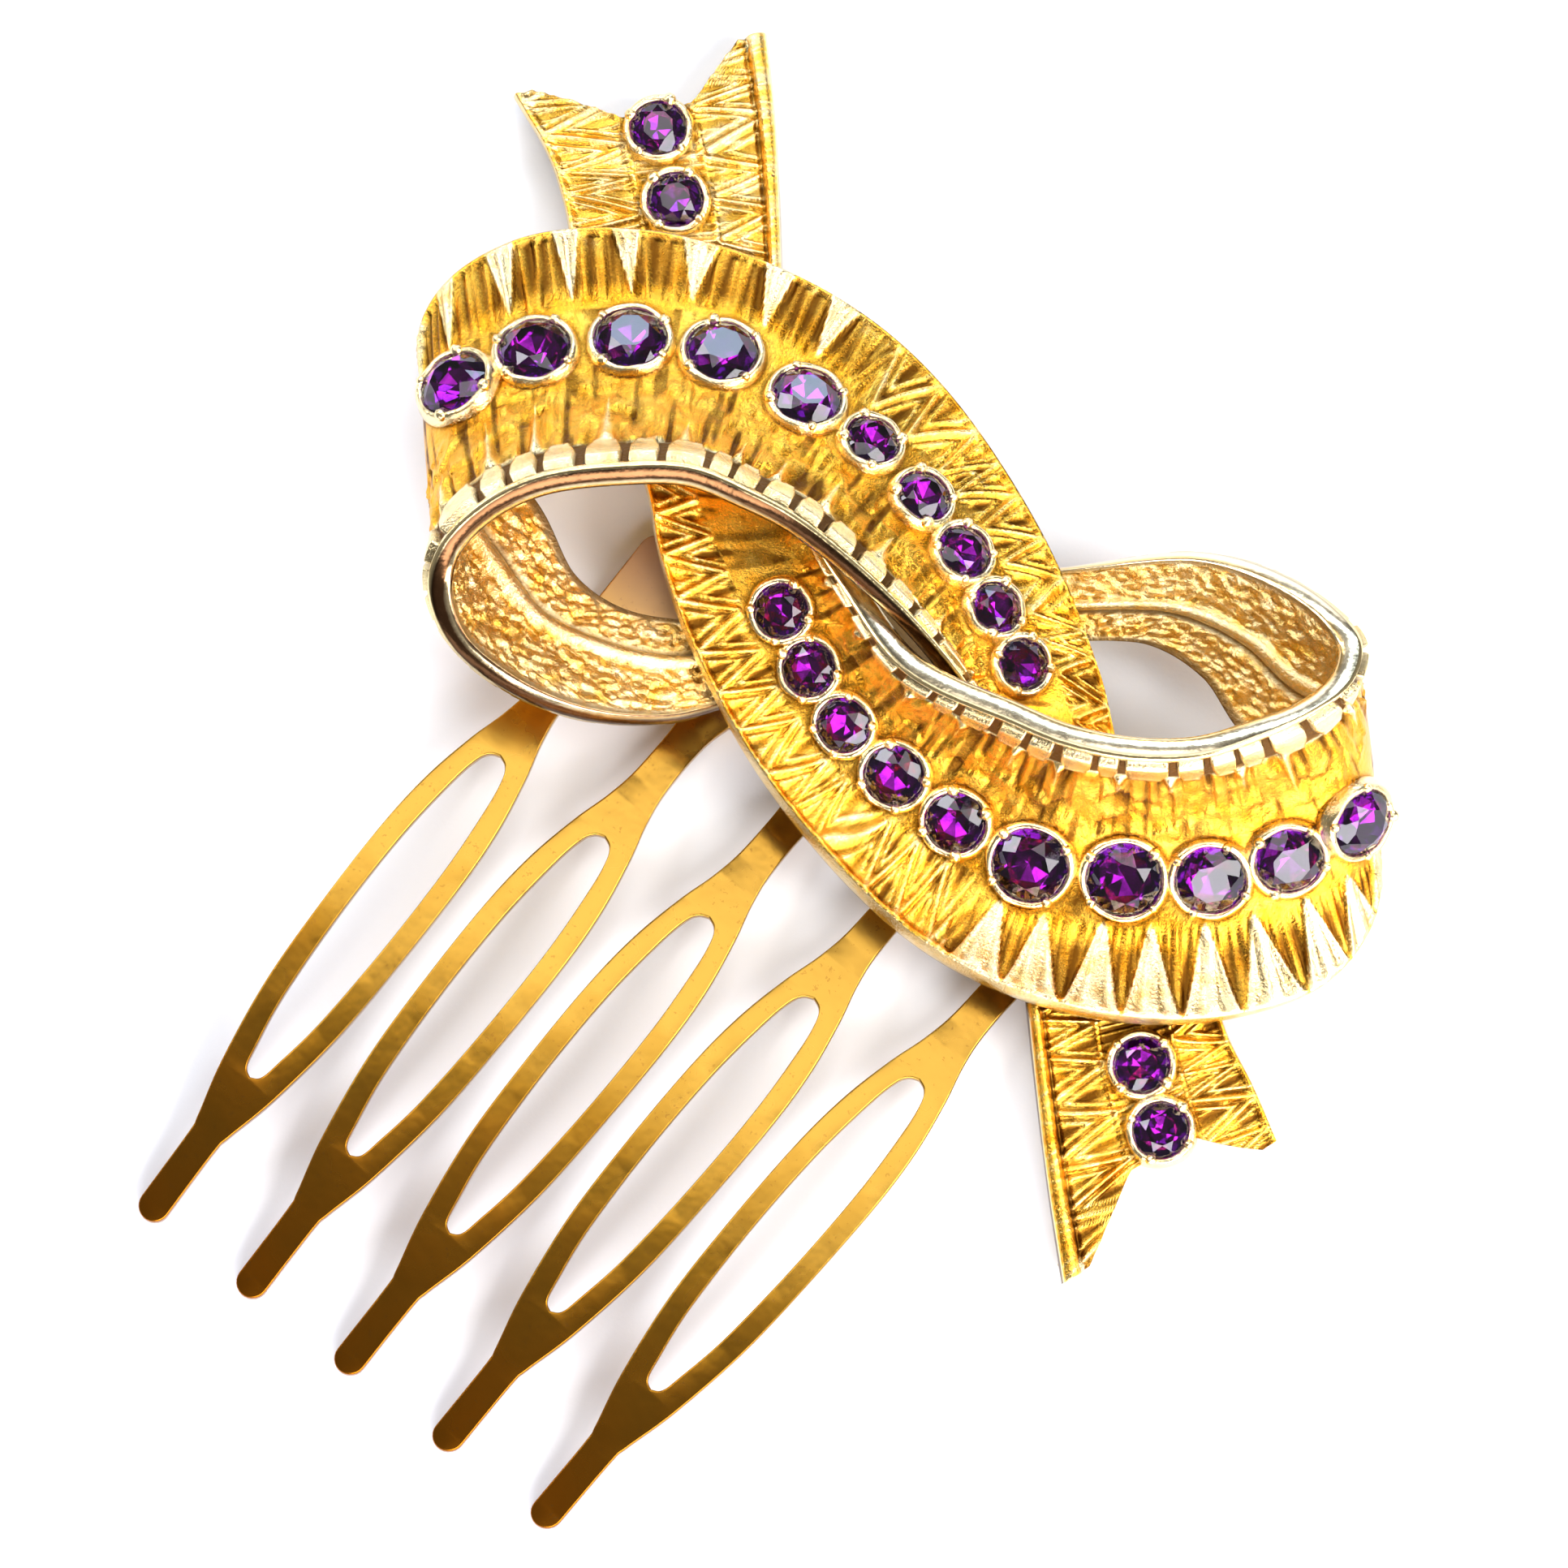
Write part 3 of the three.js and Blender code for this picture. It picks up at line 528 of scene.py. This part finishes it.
class Nodes:
    """Short names for building one material's node tree."""

    def __init__(self, name):
        self.material = bpy.data.materials.new(name)
        self.material.use_nodes = True
        self.tree = self.material.node_tree
        self.shader = self.tree.nodes["Principled BSDF"]

    def add(self, kind, inputs=None, **settings):
        made = self.tree.nodes.new(kind)
        for key, value in settings.items():
            setattr(made, key, value)
        for key, value in (inputs or {}).items():
            self.set(made, key, value)
        return made

    def set(self, made, key, value):
        if isinstance(value, bpy.types.NodeSocket):
            self.tree.links.new(value, made.inputs[key])
        else:
            made.inputs[key].default_value = value

    def shade(self, **inputs):
        for key, value in inputs.items():
            self.set(self.shader, key.replace("_", " "), value)

    def place(self):
        return self.add("ShaderNodeTexCoord").outputs["Object"]

    def noise(self, scale, detail=3.0, roughness=0.55, vector=None):
        made = self.add("ShaderNodeTexNoise", {"Scale": scale, "Detail": detail, "Roughness": roughness})
        self.set(made, "Vector", vector or self.place())
        return made.outputs["Fac"]

    def voronoi(self, scale, feature="F1"):
        made = self.add("ShaderNodeTexVoronoi", {"Scale": scale}, feature=feature)
        self.set(made, "Vector", self.place())
        return made.outputs["Distance"]

    def math(self, operation, a, b=0.0, clamp=False):
        return self.add("ShaderNodeMath", {0: a, 1: b}, operation=operation, use_clamp=clamp).outputs[0]

    def ramp(self, factor, *stops):
        made = self.add("ShaderNodeValToRGB", {"Fac": factor})
        elements = made.color_ramp.elements
        while len(elements) < len(stops):
            elements.new(0.5)
        for element, (at, colour) in zip(elements, stops, strict=True):
            element.position = at
            element.color = (*colour, 1.0)
        return made.outputs["Color"]

    def mix(self, factor, a, b):
        made = self.add("ShaderNodeMix", data_type="RGBA")
        self.set(made, "Factor", factor)
        for socket, value in ((made.inputs[6], a), (made.inputs[7], b)):
            if isinstance(value, tuple):
                socket.default_value = (*value, 1.0)
            else:
                self.tree.links.new(value, socket)
        return made.outputs[2]

    def span(self, factor, low, high):
        made = self.add("ShaderNodeMapRange", {"Value": factor, "To Min": low, "To Max": high})
        return made.outputs["Result"]

    def attribute(self, name):
        return self.add("ShaderNodeAttribute", attribute_name=name).outputs["Fac"]

    def bump(self, height, distance, strength=1.0):
        made = self.add("ShaderNodeBump", {"Height": height, "Distance": distance, "Strength": strength})
        return made.outputs["Normal"]


# Gold from pale to orange is painted light: pale for painted highlights on crests, orange in the hollows. The
# brown is painted shade in hollows, recesses and gaps, partly patina.
PALE_GOLD = (1.0, 0.82, 0.46)
YELLOW_GOLD = (1.0, 0.58, 0.08)
ORANGE_GOLD = (0.90, 0.36, 0.015)
RECESS_SHADE_BROWN = (0.12, 0.042, 0.004)


def cast_gold(name, fine_bump, dullness=0.0):
    """Bright gold plate over a casting: pale as a painted highlight on crests, orange in the hollows, and
    brown where shade is high, which is painted shade in hollows and recesses, partly patina.
    """
    m = Nodes(name)
    shade = m.attribute("shade")
    unhighlit = m.attribute("unhighlit")
    patches = m.noise(700.0, 4.0)
    grain = m.noise(5200.0, 3.0, 0.7)
    drift = m.math("MULTIPLY", m.math("SUBTRACT", patches, 0.5), 1.0)
    mixed = m.math("ADD", m.math("MULTIPLY", unhighlit, 0.85), drift, clamp=True)
    gold = m.ramp(mixed, (0.0, PALE_GOLD), (0.45, YELLOW_GOLD), (1.0, ORANGE_GOLD))
    # painted shade from the shade attribute, roughened by the grain's real speckle
    speckled = m.math("ADD", shade, m.math("MULTIPLY", m.math("SUBTRACT", grain, 0.5), 0.5), clamp=True)
    shade_and_speckle = m.math("POWER", speckled, 1.2)
    polish = m.span(grain, 0.07 + dullness, 0.18 + dullness)
    m.shade(
        Metallic=1.0,
        Base_Color=m.mix(m.math("MULTIPLY", shade_and_speckle, 0.96, clamp=True), gold, RECESS_SHADE_BROWN),
        Roughness=m.math("ADD", polish, m.math("MULTIPLY", shade_and_speckle, 0.2)),
        Normal=m.bump(m.math("ADD", grain, m.math("MULTIPLY", patches, 0.6)), fine_bump),
    )
    return m.material


def rim_edge(name, outer, body, inner):
    """The ribbons' thick edge: a smooth band between two lines, faintly scratched along it."""
    m = Nodes(name)
    lines = m.noise(1500.0, 2.0)
    band = m.math("ADD", m.attribute("shade"), m.math("MULTIPLY", m.math("SUBTRACT", lines, 0.5), 0.06))
    dark = tuple(0.35 * c for c in body)
    stripes = ((0.05, outer), (0.2, dark), (0.36, body), (0.66, body), (0.84, inner), (1.0, dark))
    m.shade(
        Metallic=1.0,
        Base_Color=m.ramp(band, *stripes),
        Roughness=m.span(lines, 0.14, 0.28),
        Normal=m.bump(lines, 0.00003),
    )
    return m.material


def comb_gold():
    """Polished plate on the stamping: light gold by the spine, darkening to bronze towards the tips as
    painted shade, the darker reflection the arched teeth take there.
    """
    m = Nodes("comb_plate")
    tip_shade = m.attribute("tip_shade")
    spine = m.attribute("spine")
    clouds = m.noise(140.0, 4.0)
    speckle = m.noise(2600.0, 2.0, 0.8)
    mixed = m.math("ADD", tip_shade, m.math("MULTIPLY", m.math("SUBTRACT", clouds, 0.5), 0.5), clamp=True)
    plate = m.ramp(
        mixed,
        (0.0, (0.46, 0.25, 0.04)), (0.38, (0.44, 0.25, 0.04)),
        (0.6, (0.33, 0.16, 0.015)), (1.0, (0.34, 0.11, 0.006)),
    )
    dots = m.math("MULTIPLY", m.math("GREATER_THAN", speckle, 0.66), 0.45)
    m.shade(
        Metallic=1.0,
        Base_Color=m.mix(spine, m.mix(dots, plate, (0.25, 0.11, 0.02)), (0.40, 0.25, 0.17)),
        Roughness=m.math("ADD", m.span(clouds, 0.20, 0.34), m.math("MULTIPLY", spine, 0.2)),
        Normal=m.bump(clouds, 0.00012),
    )
    return m.material


def solder_metal():
    m = Nodes("solder_metal")
    clouds = m.noise(900.0, 4.0)
    m.shade(
        Metallic=0.8,
        Base_Color=m.ramp(clouds, (0.3, (0.20, 0.17, 0.15)), (0.7, (0.55, 0.48, 0.42))),
        Roughness=m.span(clouds, 0.35, 0.6),
        Normal=m.bump(clouds, 0.0001),
    )
    return m.material


def stone_glass():
    """The crown of a chaton: clear purple glass, a little uneven in colour, with faint surface scratches."""
    m = Nodes("amethyst_glass")
    clouds = m.noise(260.0, 2.0)
    scratches = m.noise(4000.0, 2.0, 0.8)
    m.shade(
        Transmission_Weight=1.0,
        IOR=1.58,
        Base_Color=m.ramp(clouds, (0.3, (0.30, 0.014, 0.27)), (0.7, (0.50, 0.028, 0.40))),
        Roughness=m.span(scratches, 0.0, 0.05),
    )
    return m.material


def stone_foil():
    """The mirror behind a chaton's lower facets."""
    m = Nodes("amethyst_foil")
    clouds = m.noise(900.0, 3.0)
    m.shade(
        Metallic=1.0,
        Base_Color=m.ramp(clouds, (0.3, (0.14, 0.07, 0.25)), (0.7, (0.44, 0.29, 0.64))),
        Roughness=m.span(clouds, 0.04, 0.12),
    )
    return m.material


def table_paper():
    m = Nodes("pale_table")
    clouds = m.noise(30.0, 5.0)
    m.shade(
        Base_Color=m.ramp(clouds, (0.2, (0.84, 0.84, 0.865)), (0.8, (0.88, 0.88, 0.90))),
        Roughness=m.span(clouds, 0.6, 0.75),
        Normal=m.bump(m.noise(2500.0, 3.0), 0.00001),
    )
    return m.material


# ---------------------------------------------------------------- stones and their settings

def chaton(radius, culet):
    """Vertices, faces and material slots of a brilliant-cut stone, with its girdle at height 0."""
    def ring(count, r, z, offset=0.0):
        angles = (np.arange(count) + offset) * 2 * math.pi / count
        return [(r * radius * math.cos(a), r * radius * math.sin(a), z * radius) for a in angles]

    vertices = ring(8, 0.54, 0.40) + ring(8, 0.80, 0.24, 0.5) + ring(16, 1.0, 0.05)
    vertices += ring(16, 1.0, -0.03) + ring(8, 0.52, -0.42, 0.5)
    vertices += [(culet[0] * radius, culet[1] * radius, -CULET_DEPTH * radius)]
    table, mid, girdle, low, pavilion, point = 0, 8, 16, 32, 48, 56
    crown, foil = [tuple(range(table, table + 8))], []
    for i in range(8):
        n = (i + 1) % 8
        crown.append((table + i, mid + i, table + n))
        crown.append((table + n, mid + i, girdle + 2 * n, mid + n))
        crown.append((mid + i, girdle + 2 * i, girdle + 2 * i + 1))
        crown.append((mid + i, girdle + 2 * i + 1, girdle + (2 * i + 2) % 16))
        foil.append((pavilion + i, low + 2 * i + 1, low + 2 * i))
        foil.append((pavilion + i, low + (2 * i + 2) % 16, low + 2 * i + 1))
        foil.append((pavilion + i, low + 2 * n, pavilion + n))
        foil.append((pavilion + i, pavilion + n, point))
    for j in range(16):
        n = (j + 1) % 16
        crown.append((girdle + j, low + j, low + n, girdle + n))
    slots = [0] * len(crown) + [1] * len(foil)
    return np.array(vertices), crown + foil, slots


def seat_axes(seat):
    """A seat's own axes as columns: along the row, across it and out of it."""
    _, _, n, along = seat
    return np.stack([along, np.cross(n, along), n], axis=1)


def place_on(seat, local):
    return to_frame(local @ seat_axes(seat).T + seat[1])


def outward(piece):
    """Turns a closed mesh's faces to point out of it."""
    work = bmesh.new()
    work.from_mesh(piece.data)
    bmesh.ops.recalc_face_normals(work, faces=work.faces)
    work.to_mesh(piece.data)
    work.free()


def stones(prefix, seats, materials):
    for i, seat in enumerate(seats):
        name = f"{prefix}{i + 1:02d}"
        spin = RANDOM.uniform(0, math.pi / 4)
        c, s = math.cos(spin), math.sin(spin)
        local, faces, slots = chaton(seat[0] / 2, RANDOM.uniform(-0.07, 0.07, 2))
        local = local @ np.array([[c, s, 0], [-s, c, 0], [0, 0, 1]])
        piece = stone_object(name, place_on(seat, local), faces, slots, materials)
        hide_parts(name)


def stone_object(name, points, faces, slots, materials):
    mesh = bpy.data.meshes.new("chaton_" + name)
    mesh.from_pydata(points.tolist(), [], faces)
    for material in materials:
        mesh.materials.append(material)
    mesh.polygons.foreach_set("material_index", np.array(slots, dtype=np.int32))
    piece = bpy.data.objects.new("chaton_" + name, mesh)
    bpy.context.scene.collection.objects.link(piece)
    outward(piece)
    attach(piece, "root")
    return piece


def collar(radius):
    """A thin raised ring round a stone, a little uneven, as a closed loop of sections."""
    section = np.array([
        [0.10, -0.9], [-0.02, -0.15], [-0.09, 0.10], [-0.05, 0.24], [0.08, 0.32],
        [0.24, 0.30], [0.36, 0.16], [0.44, -0.10], [0.56, -0.5], [0.60, -0.9],
    ])
    steps = 56
    angles = np.arange(steps) * 2 * math.pi / steps
    waves = [RANDOM.uniform(0, 2 * math.pi) for _ in range(4)]
    wide = 0.05 * np.sin(3 * angles + waves[0]) + 0.04 * np.sin(5 * angles + waves[1])
    tall = 0.05 * np.sin(2 * angles + waves[2]) + 0.04 * np.sin(7 * angles + waves[3])
    r = radius + section[None, :, 0] * (1 + 0.9 * wide[:, None])
    z = section[None, :, 1] + tall[:, None] * (section[None, :, 1] > -0.4)
    points = np.stack([r * np.cos(angles)[:, None], r * np.sin(angles)[:, None], z], axis=-1)
    count = len(section)
    i, j = np.meshgrid(np.arange(steps), np.arange(count), indexing="ij")
    n, m = (i + 1) % steps, (j + 1) % count
    faces = np.stack([i * count + j, n * count + j, n * count + m, i * count + m], axis=-1).reshape(-1, 4)
    return points.reshape(-1, 3), faces


def bead(radius, place):
    """A small lumpy grain of metal that holds a stone's edge."""
    rings, steps = 7, 12
    points = []
    for a in np.linspace(0.02, math.pi - 0.02, rings):
        for b in np.arange(steps) * 2 * math.pi / steps:
            swell = radius * RANDOM.uniform(0.92, 1.08)
            flat = swell * math.sin(a)
            points.append((flat * math.cos(b), flat * math.sin(b), swell * math.cos(a)))
    i, j = np.meshgrid(np.arange(rings - 1), np.arange(steps), indexing="ij")
    n = (j + 1) % steps
    faces = np.stack([i * steps + j, (i + 1) * steps + j, (i + 1) * steps + n, i * steps + n], axis=-1)
    return np.array(points) + place, faces.reshape(-1, 4)


def settings(name, stations, seats, material):
    """Every collar and bead of one ribbon, and the knob on its long tail arm, as one piece."""
    points, faces, total = [], [], 0

    def join(seat, local, local_faces):
        nonlocal total
        points.append(place_on(seat, local))
        faces.append(local_faces + total)
        total += len(local)

    for seat in seats:
        radius = seat[0] / 2
        join(seat, *collar(radius))
        for quarter in range(4):
            angle = math.pi / 4 + quarter * math.pi / 2 + RANDOM.uniform(-0.25, 0.25)
            reach = radius + 0.12
            place = np.array([reach * math.cos(angle), reach * math.sin(angle), 0.22])
            join(seat, *bead(RANDOM.uniform(0.30, 0.44), place))
    tip = np.array([TIP_STATION])
    at, n = surface(stations, tip, np.array([TIP_SHARE]))[0], normals(stations, tip, np.array([TIP_SHARE]))[0]
    knob = (1.0, at - n * 0.45, n, np.array([1.0, 0.0, 0.0]))
    join(knob, *bead(0.85, np.array([0.0, 0.0, 0.0])))
    piece = new_object(name, np.concatenate(points), np.concatenate(faces).tolist(), [material], "bow_gilt")
    store(piece.data, "shade", np.zeros(total))
    # zero paints the collars and beads pale, a painted highlight
    store(piece.data, "unhighlit", np.zeros(total))
    return piece


# ---------------------------------------------------------------- the comb

COMB_SHEET = 1.0
TOOTH_PITCH, TOOTH_COUNT, TOOTH_LENGTH, TOOTH_ARCH = 7.63, 5, 46.0, 3.0
TOOTH_FAN, TOOTH_LEAN = 0.0147, 0.022
SPINE_DEPTH, SPINE_OVERHANG, TEETH_MIDDLE, TOOTH_TIP = 7.0, 1.5, 0.66, -57.6
TOOTH_EDGE = np.array([
    [1, 1.0], [5.8, 1.02], [7, 1.2], [10.5, 2.05], [16, 2.85], [22, 3.1], [28, 3.1], [32, 2.8], [35.5, 2.15],
    [38, 1.5], [40.4, 1.15], [44, 1.15], [46, 1.6],
])
SLOT_EDGE = np.array([
    [10.7, 0], [11.1, 0.55], [12.4, 0.85], [16, 1.4], [22, 1.72], [28, 1.7], [32.5, 1.35], [34.6, 1.0],
    [35.4, 0.6], [35.7, 0],
])
SPINE_BACK = TOOTH_TIP + TOOTH_LENGTH
SPINE_TOP = SPINE_BACK + SPINE_DEPTH
COMB_ROUNDING, SPINE_CORNER = 0.12, 1.2


def side_curve(knots, count):
    """Distance from the tip and half width along a side, by a uniform Catmull-Rom curve."""
    p = np.vstack([knots[0], knots, knots[-1]])
    t = np.linspace(0, len(knots) - 1, count)
    k = np.minimum(t.astype(int), len(knots) - 2)
    w = (t - k)[:, None]
    p0, p1, p2, p3 = p[k], p[k + 1], p[k + 2], p[k + 3]
    m1, m2 = (p2 - p0) / 2, (p3 - p1) / 2
    return (2 * p1 - 2 * p2 + m1 + m2) * w**3 + (-3 * p1 + 3 * p2 - 2 * m1 - m2) * w**2 + m1 * w + p1


def beside_tooth(i, t, w):
    """The place beside tooth i's axis at a distance t from its tip, w to the right."""
    pitch = TOOTH_PITCH + TOOTH_FAN * t
    axis = TEETH_MIDDLE + TOOTH_LEAN * t + (i - (TOOTH_COUNT - 1) / 2) * pitch
    return axis + w, TOOTH_TIP + t


def comb_outline():
    side = side_curve(TOOTH_EDGE, 110)
    tip = np.linspace(0, math.pi, 14)[1:-1]
    corner = np.linspace(0, math.pi / 2, 8)
    left = beside_tooth(0, TOOTH_LENGTH, -SPINE_OVERHANG)[0]
    right = beside_tooth(TOOTH_COUNT - 1, TOOTH_LENGTH, SPINE_OVERHANG)[0]
    points = [(left, SPINE_BACK)]
    for i in range(TOOTH_COUNT):
        points += [beside_tooth(i, t, -w) for t, w in side[::-1]]
        points += [beside_tooth(i, 1 - math.sin(a), -math.cos(a)) for a in tip]
        points += [beside_tooth(i, t, w) for t, w in side]
    points.append((right, SPINE_BACK))
    r = SPINE_CORNER
    points += [(right - r + r * math.cos(a), SPINE_TOP - r + r * math.sin(a)) for a in corner]
    points += [(left + r - r * math.sin(a), SPINE_TOP - r + r * math.cos(a)) for a in corner]
    return points


def slot_outline(i):
    side = side_curve(SLOT_EDGE, 90)
    return [beside_tooth(i, t, w) for t, w in side] + [beside_tooth(i, t, -w) for t, w in side[-2:0:-1]]


def arch(y):
    share = (SPINE_BACK - y) / TOOTH_LENGTH
    rise = 4 * TOOTH_ARCH * share * (1 - share) * np.minimum(1, share / 0.08)
    return np.where(share <= 0, 0, np.maximum(rise, 0))


def comb(material):
    """The stamping: one flat outline with slots, its edges rounded over, then arched along the teeth."""
    curve = bpy.data.curves.new("comb_outline", "CURVE")
    curve.dimensions, curve.fill_mode = "2D", "BOTH"
    curve.extrude = COMB_SHEET / 2 - COMB_ROUNDING
    curve.bevel_depth, curve.bevel_resolution, curve.offset = COMB_ROUNDING, 3, -COMB_ROUNDING
    for outline in [comb_outline()] + [slot_outline(i) for i in range(TOOTH_COUNT)]:
        line = curve.splines.new("POLY")
        line.points.add(len(outline) - 1)
        for point, (x, y) in zip(line.points, outline, strict=True):
            point.co = (x, y, 0, 1)
        line.use_cyclic_u = True
    holder = bpy.data.objects.new("comb_outline", curve)
    bpy.context.scene.collection.objects.link(holder)
    mesh = bpy.data.meshes.new_from_object(holder.evaluated_get(bpy.context.evaluated_depsgraph_get()))
    bpy.data.objects.remove(holder)
    work = bmesh.new()
    work.from_mesh(mesh)
    bmesh.ops.remove_doubles(work, verts=work.verts, dist=0.002)
    bmesh.ops.recalc_face_normals(work, faces=work.faces)
    work.to_mesh(mesh)
    work.free()
    points = np.empty(len(mesh.vertices) * 3)
    mesh.vertices.foreach_get("co", points)
    points = points.reshape(-1, 3)
    tip_share = np.clip((SPINE_BACK - points[:, 1]) / TOOTH_LENGTH, 0, 1)
    points[:, 2] += COMB_SHEET / 2 + arch(points[:, 1])
    placed = (points + BOW_MIDDLE) * MM
    mesh.vertices.foreach_set("co", placed.ravel())
    # painted shade along the teeth, darker towards the tips
    store(mesh, "tip_shade", tip_share)
    store(mesh, "spine", smooth(SPINE_BACK - 0.5, SPINE_BACK + 1.5, points[:, 1]))
    mesh.materials.clear()
    mesh.materials.append(material)
    mesh.polygons.foreach_set("use_smooth", np.ones(len(mesh.polygons), dtype=bool))
    piece = bpy.data.objects.new("comb_plate", mesh)
    bpy.context.scene.collection.objects.link(piece)
    keep = piece.modifiers.new("flat_faces", "WEIGHTED_NORMAL")
    keep.mode = "FACE_AREA"
    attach(piece, "root")
    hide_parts("comb")


# ---------------------------------------------------------------- the stage

LENS = 223.6
VIEW_DISTANCE = 0.6
VIEW_TILT = math.radians(8.0)
VIEW_MIDDLE = np.array([-7.72, -9.67, 0.0])


def screen_axes():
    """Right, up and towards the camera, in the CAD's frame."""
    c, s = math.cos(BOW_TURN), math.sin(BOW_TURN)
    turn = Matrix(((c, -s, 0), (s, c, 0), (0, 0, 1)))
    right = turn @ Vector((1, 0, 0))
    up = turn @ Vector((0, math.cos(VIEW_TILT), math.sin(VIEW_TILT)))
    return right, up, right.cross(up)


def camera():
    right, up, back = screen_axes()
    target = Vector(to_frame(VIEW_MIDDLE[None, :])[0])
    data = bpy.data.cameras.new("camera")
    data.lens, data.sensor_width = LENS, 36.0
    data.clip_start, data.clip_end = 0.01, 20.0
    eye = bpy.data.objects.new("camera", data)
    basis = Matrix((right, up, back)).transposed().to_4x4()
    eye.matrix_world = Matrix.Translation(target + back * VIEW_DISTANCE) @ basis
    bpy.context.scene.collection.objects.link(eye)
    bpy.context.scene.camera = eye
    return target


def softbox(name, target, offset, size, power, colour=(1, 1, 1)):
    """A rectangular lamp that faces the target; offset is right, up and towards the camera, in metres."""
    right, up, back = screen_axes()
    lamp = bpy.data.lights.new(name, "AREA")
    lamp.shape = "RECTANGLE"
    lamp.size, lamp.size_y = size
    lamp.energy = power
    lamp.color = colour
    place = target + right * offset[0] + up * offset[1] + back * offset[2]
    piece = bpy.data.objects.new(name, lamp)
    piece.location = place
    piece.rotation_euler = (target - place).to_track_quat("-Z", "Y").to_euler()
    bpy.context.scene.collection.objects.link(piece)


def floor(target):
    mesh = bpy.data.meshes.new("table_top")
    reach = 3.0
    corners = [(-reach, -reach, 0), (reach, -reach, 0), (reach, reach, 0), (-reach, reach, 0)]
    mesh.from_pydata(corners, [], [(0, 1, 2, 3)])
    mesh.materials.append(table_paper())
    piece = bpy.data.objects.new("table_top", mesh)
    piece.location = (target.x, target.y, -0.0001)
    bpy.context.scene.collection.objects.link(piece)


def studio(target):
    world = bpy.data.worlds.new("studio")
    world.use_nodes = True
    world.node_tree.nodes["Background"].inputs["Color"].default_value = (1.0, 0.96, 0.94, 1)
    world.node_tree.nodes["Background"].inputs["Strength"].default_value = 0.2
    bpy.context.scene.world = world
    bpy.context.scene.view_settings.view_transform = "Standard"
    softbox("key", target, (0.42, -0.06, 0.42), (0.30, 0.38), 3.4)
    softbox("overhead", target, (0.02, 0.26, 0.58), (0.54, 0.32), 1.5)
    softbox("window", target, (0.03, 0.52, 0.18), (0.30, 0.15), 1.3, (0.62, 0.78, 1.0))
    softbox("upper_left", target, (-0.42, 0.34, 0.34), (0.30, 0.20), 2.0, (0.92, 0.95, 1.0))
    softbox("low", target, (0.10, -0.42, 0.34), (0.56, 0.26), 4.6, (0.94, 0.95, 1.0))


# ---------------------------------------------------------------- assembly

def build():
    front = cast_gold("gold_front", 0.00006)
    inside = cast_gold("gold_inside", 0.00008, dullness=0.12)
    collar_gold = cast_gold("gold_collars", 0.00004)
    # Lit and shaded copies of one edge: the upper ribbon's edge body is painted dark as shade, the lower's
    # pale as light.
    pale, bronze = (1.0, 0.80, 0.42), (0.15, 0.07, 0.03)
    rims = {
        "upper": rim_edge("rim_edge_shaded", pale, bronze, (0.95, 0.76, 0.44)),
        "lower": rim_edge("rim_edge_lit", pale, (1.0, 0.84, 0.56), (0.80, 0.50, 0.16)),
    }
    gems = [stone_glass(), stone_foil()]
    designs = {
        "upper": (UPPER_STATIONS, UPPER_FIRST_STONE, UPPER_ROW),
        "lower": (LOWER_STATIONS, LOWER_FIRST_STONE, LOWER_ROW),
    }
    # tail: the lower ribbon's tail is painted lighter as lit, the upper's darker as shaded
    kinds = {
        "upper": {"strand": (8.2, 8.9), "pleat": 3.6, "wedge": 0.45, "tail": 1.0, "seed": 3},
        "lower": {"strand": (9.2, 9.8), "pleat": 2.8, "wedge": 0.96, "tail": 0.6, "seed": 11},
    }
    for half, (stations, first, loop_row) in designs.items():
        seats = stone_seats(stations, first, loop_row)
        piece = ribbon("gilt_ribbon_" + half, stations, seats, kinds[half], [front, inside, rims[half]])
        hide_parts("ribbon_" + half)
        settings("settings_" + half, stations, seats, collar_gold)
        stones("stone_" + half + "_", seats, gems)
    comb(comb_gold())
    dull = solder_metal()
    for node in ("solder_left", "solder_middle", "solder_right"):
        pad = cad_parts[node]
        pad.data.materials.clear()
        pad.data.materials.append(dull)


build()
target = camera()
floor(target)
studio(target)
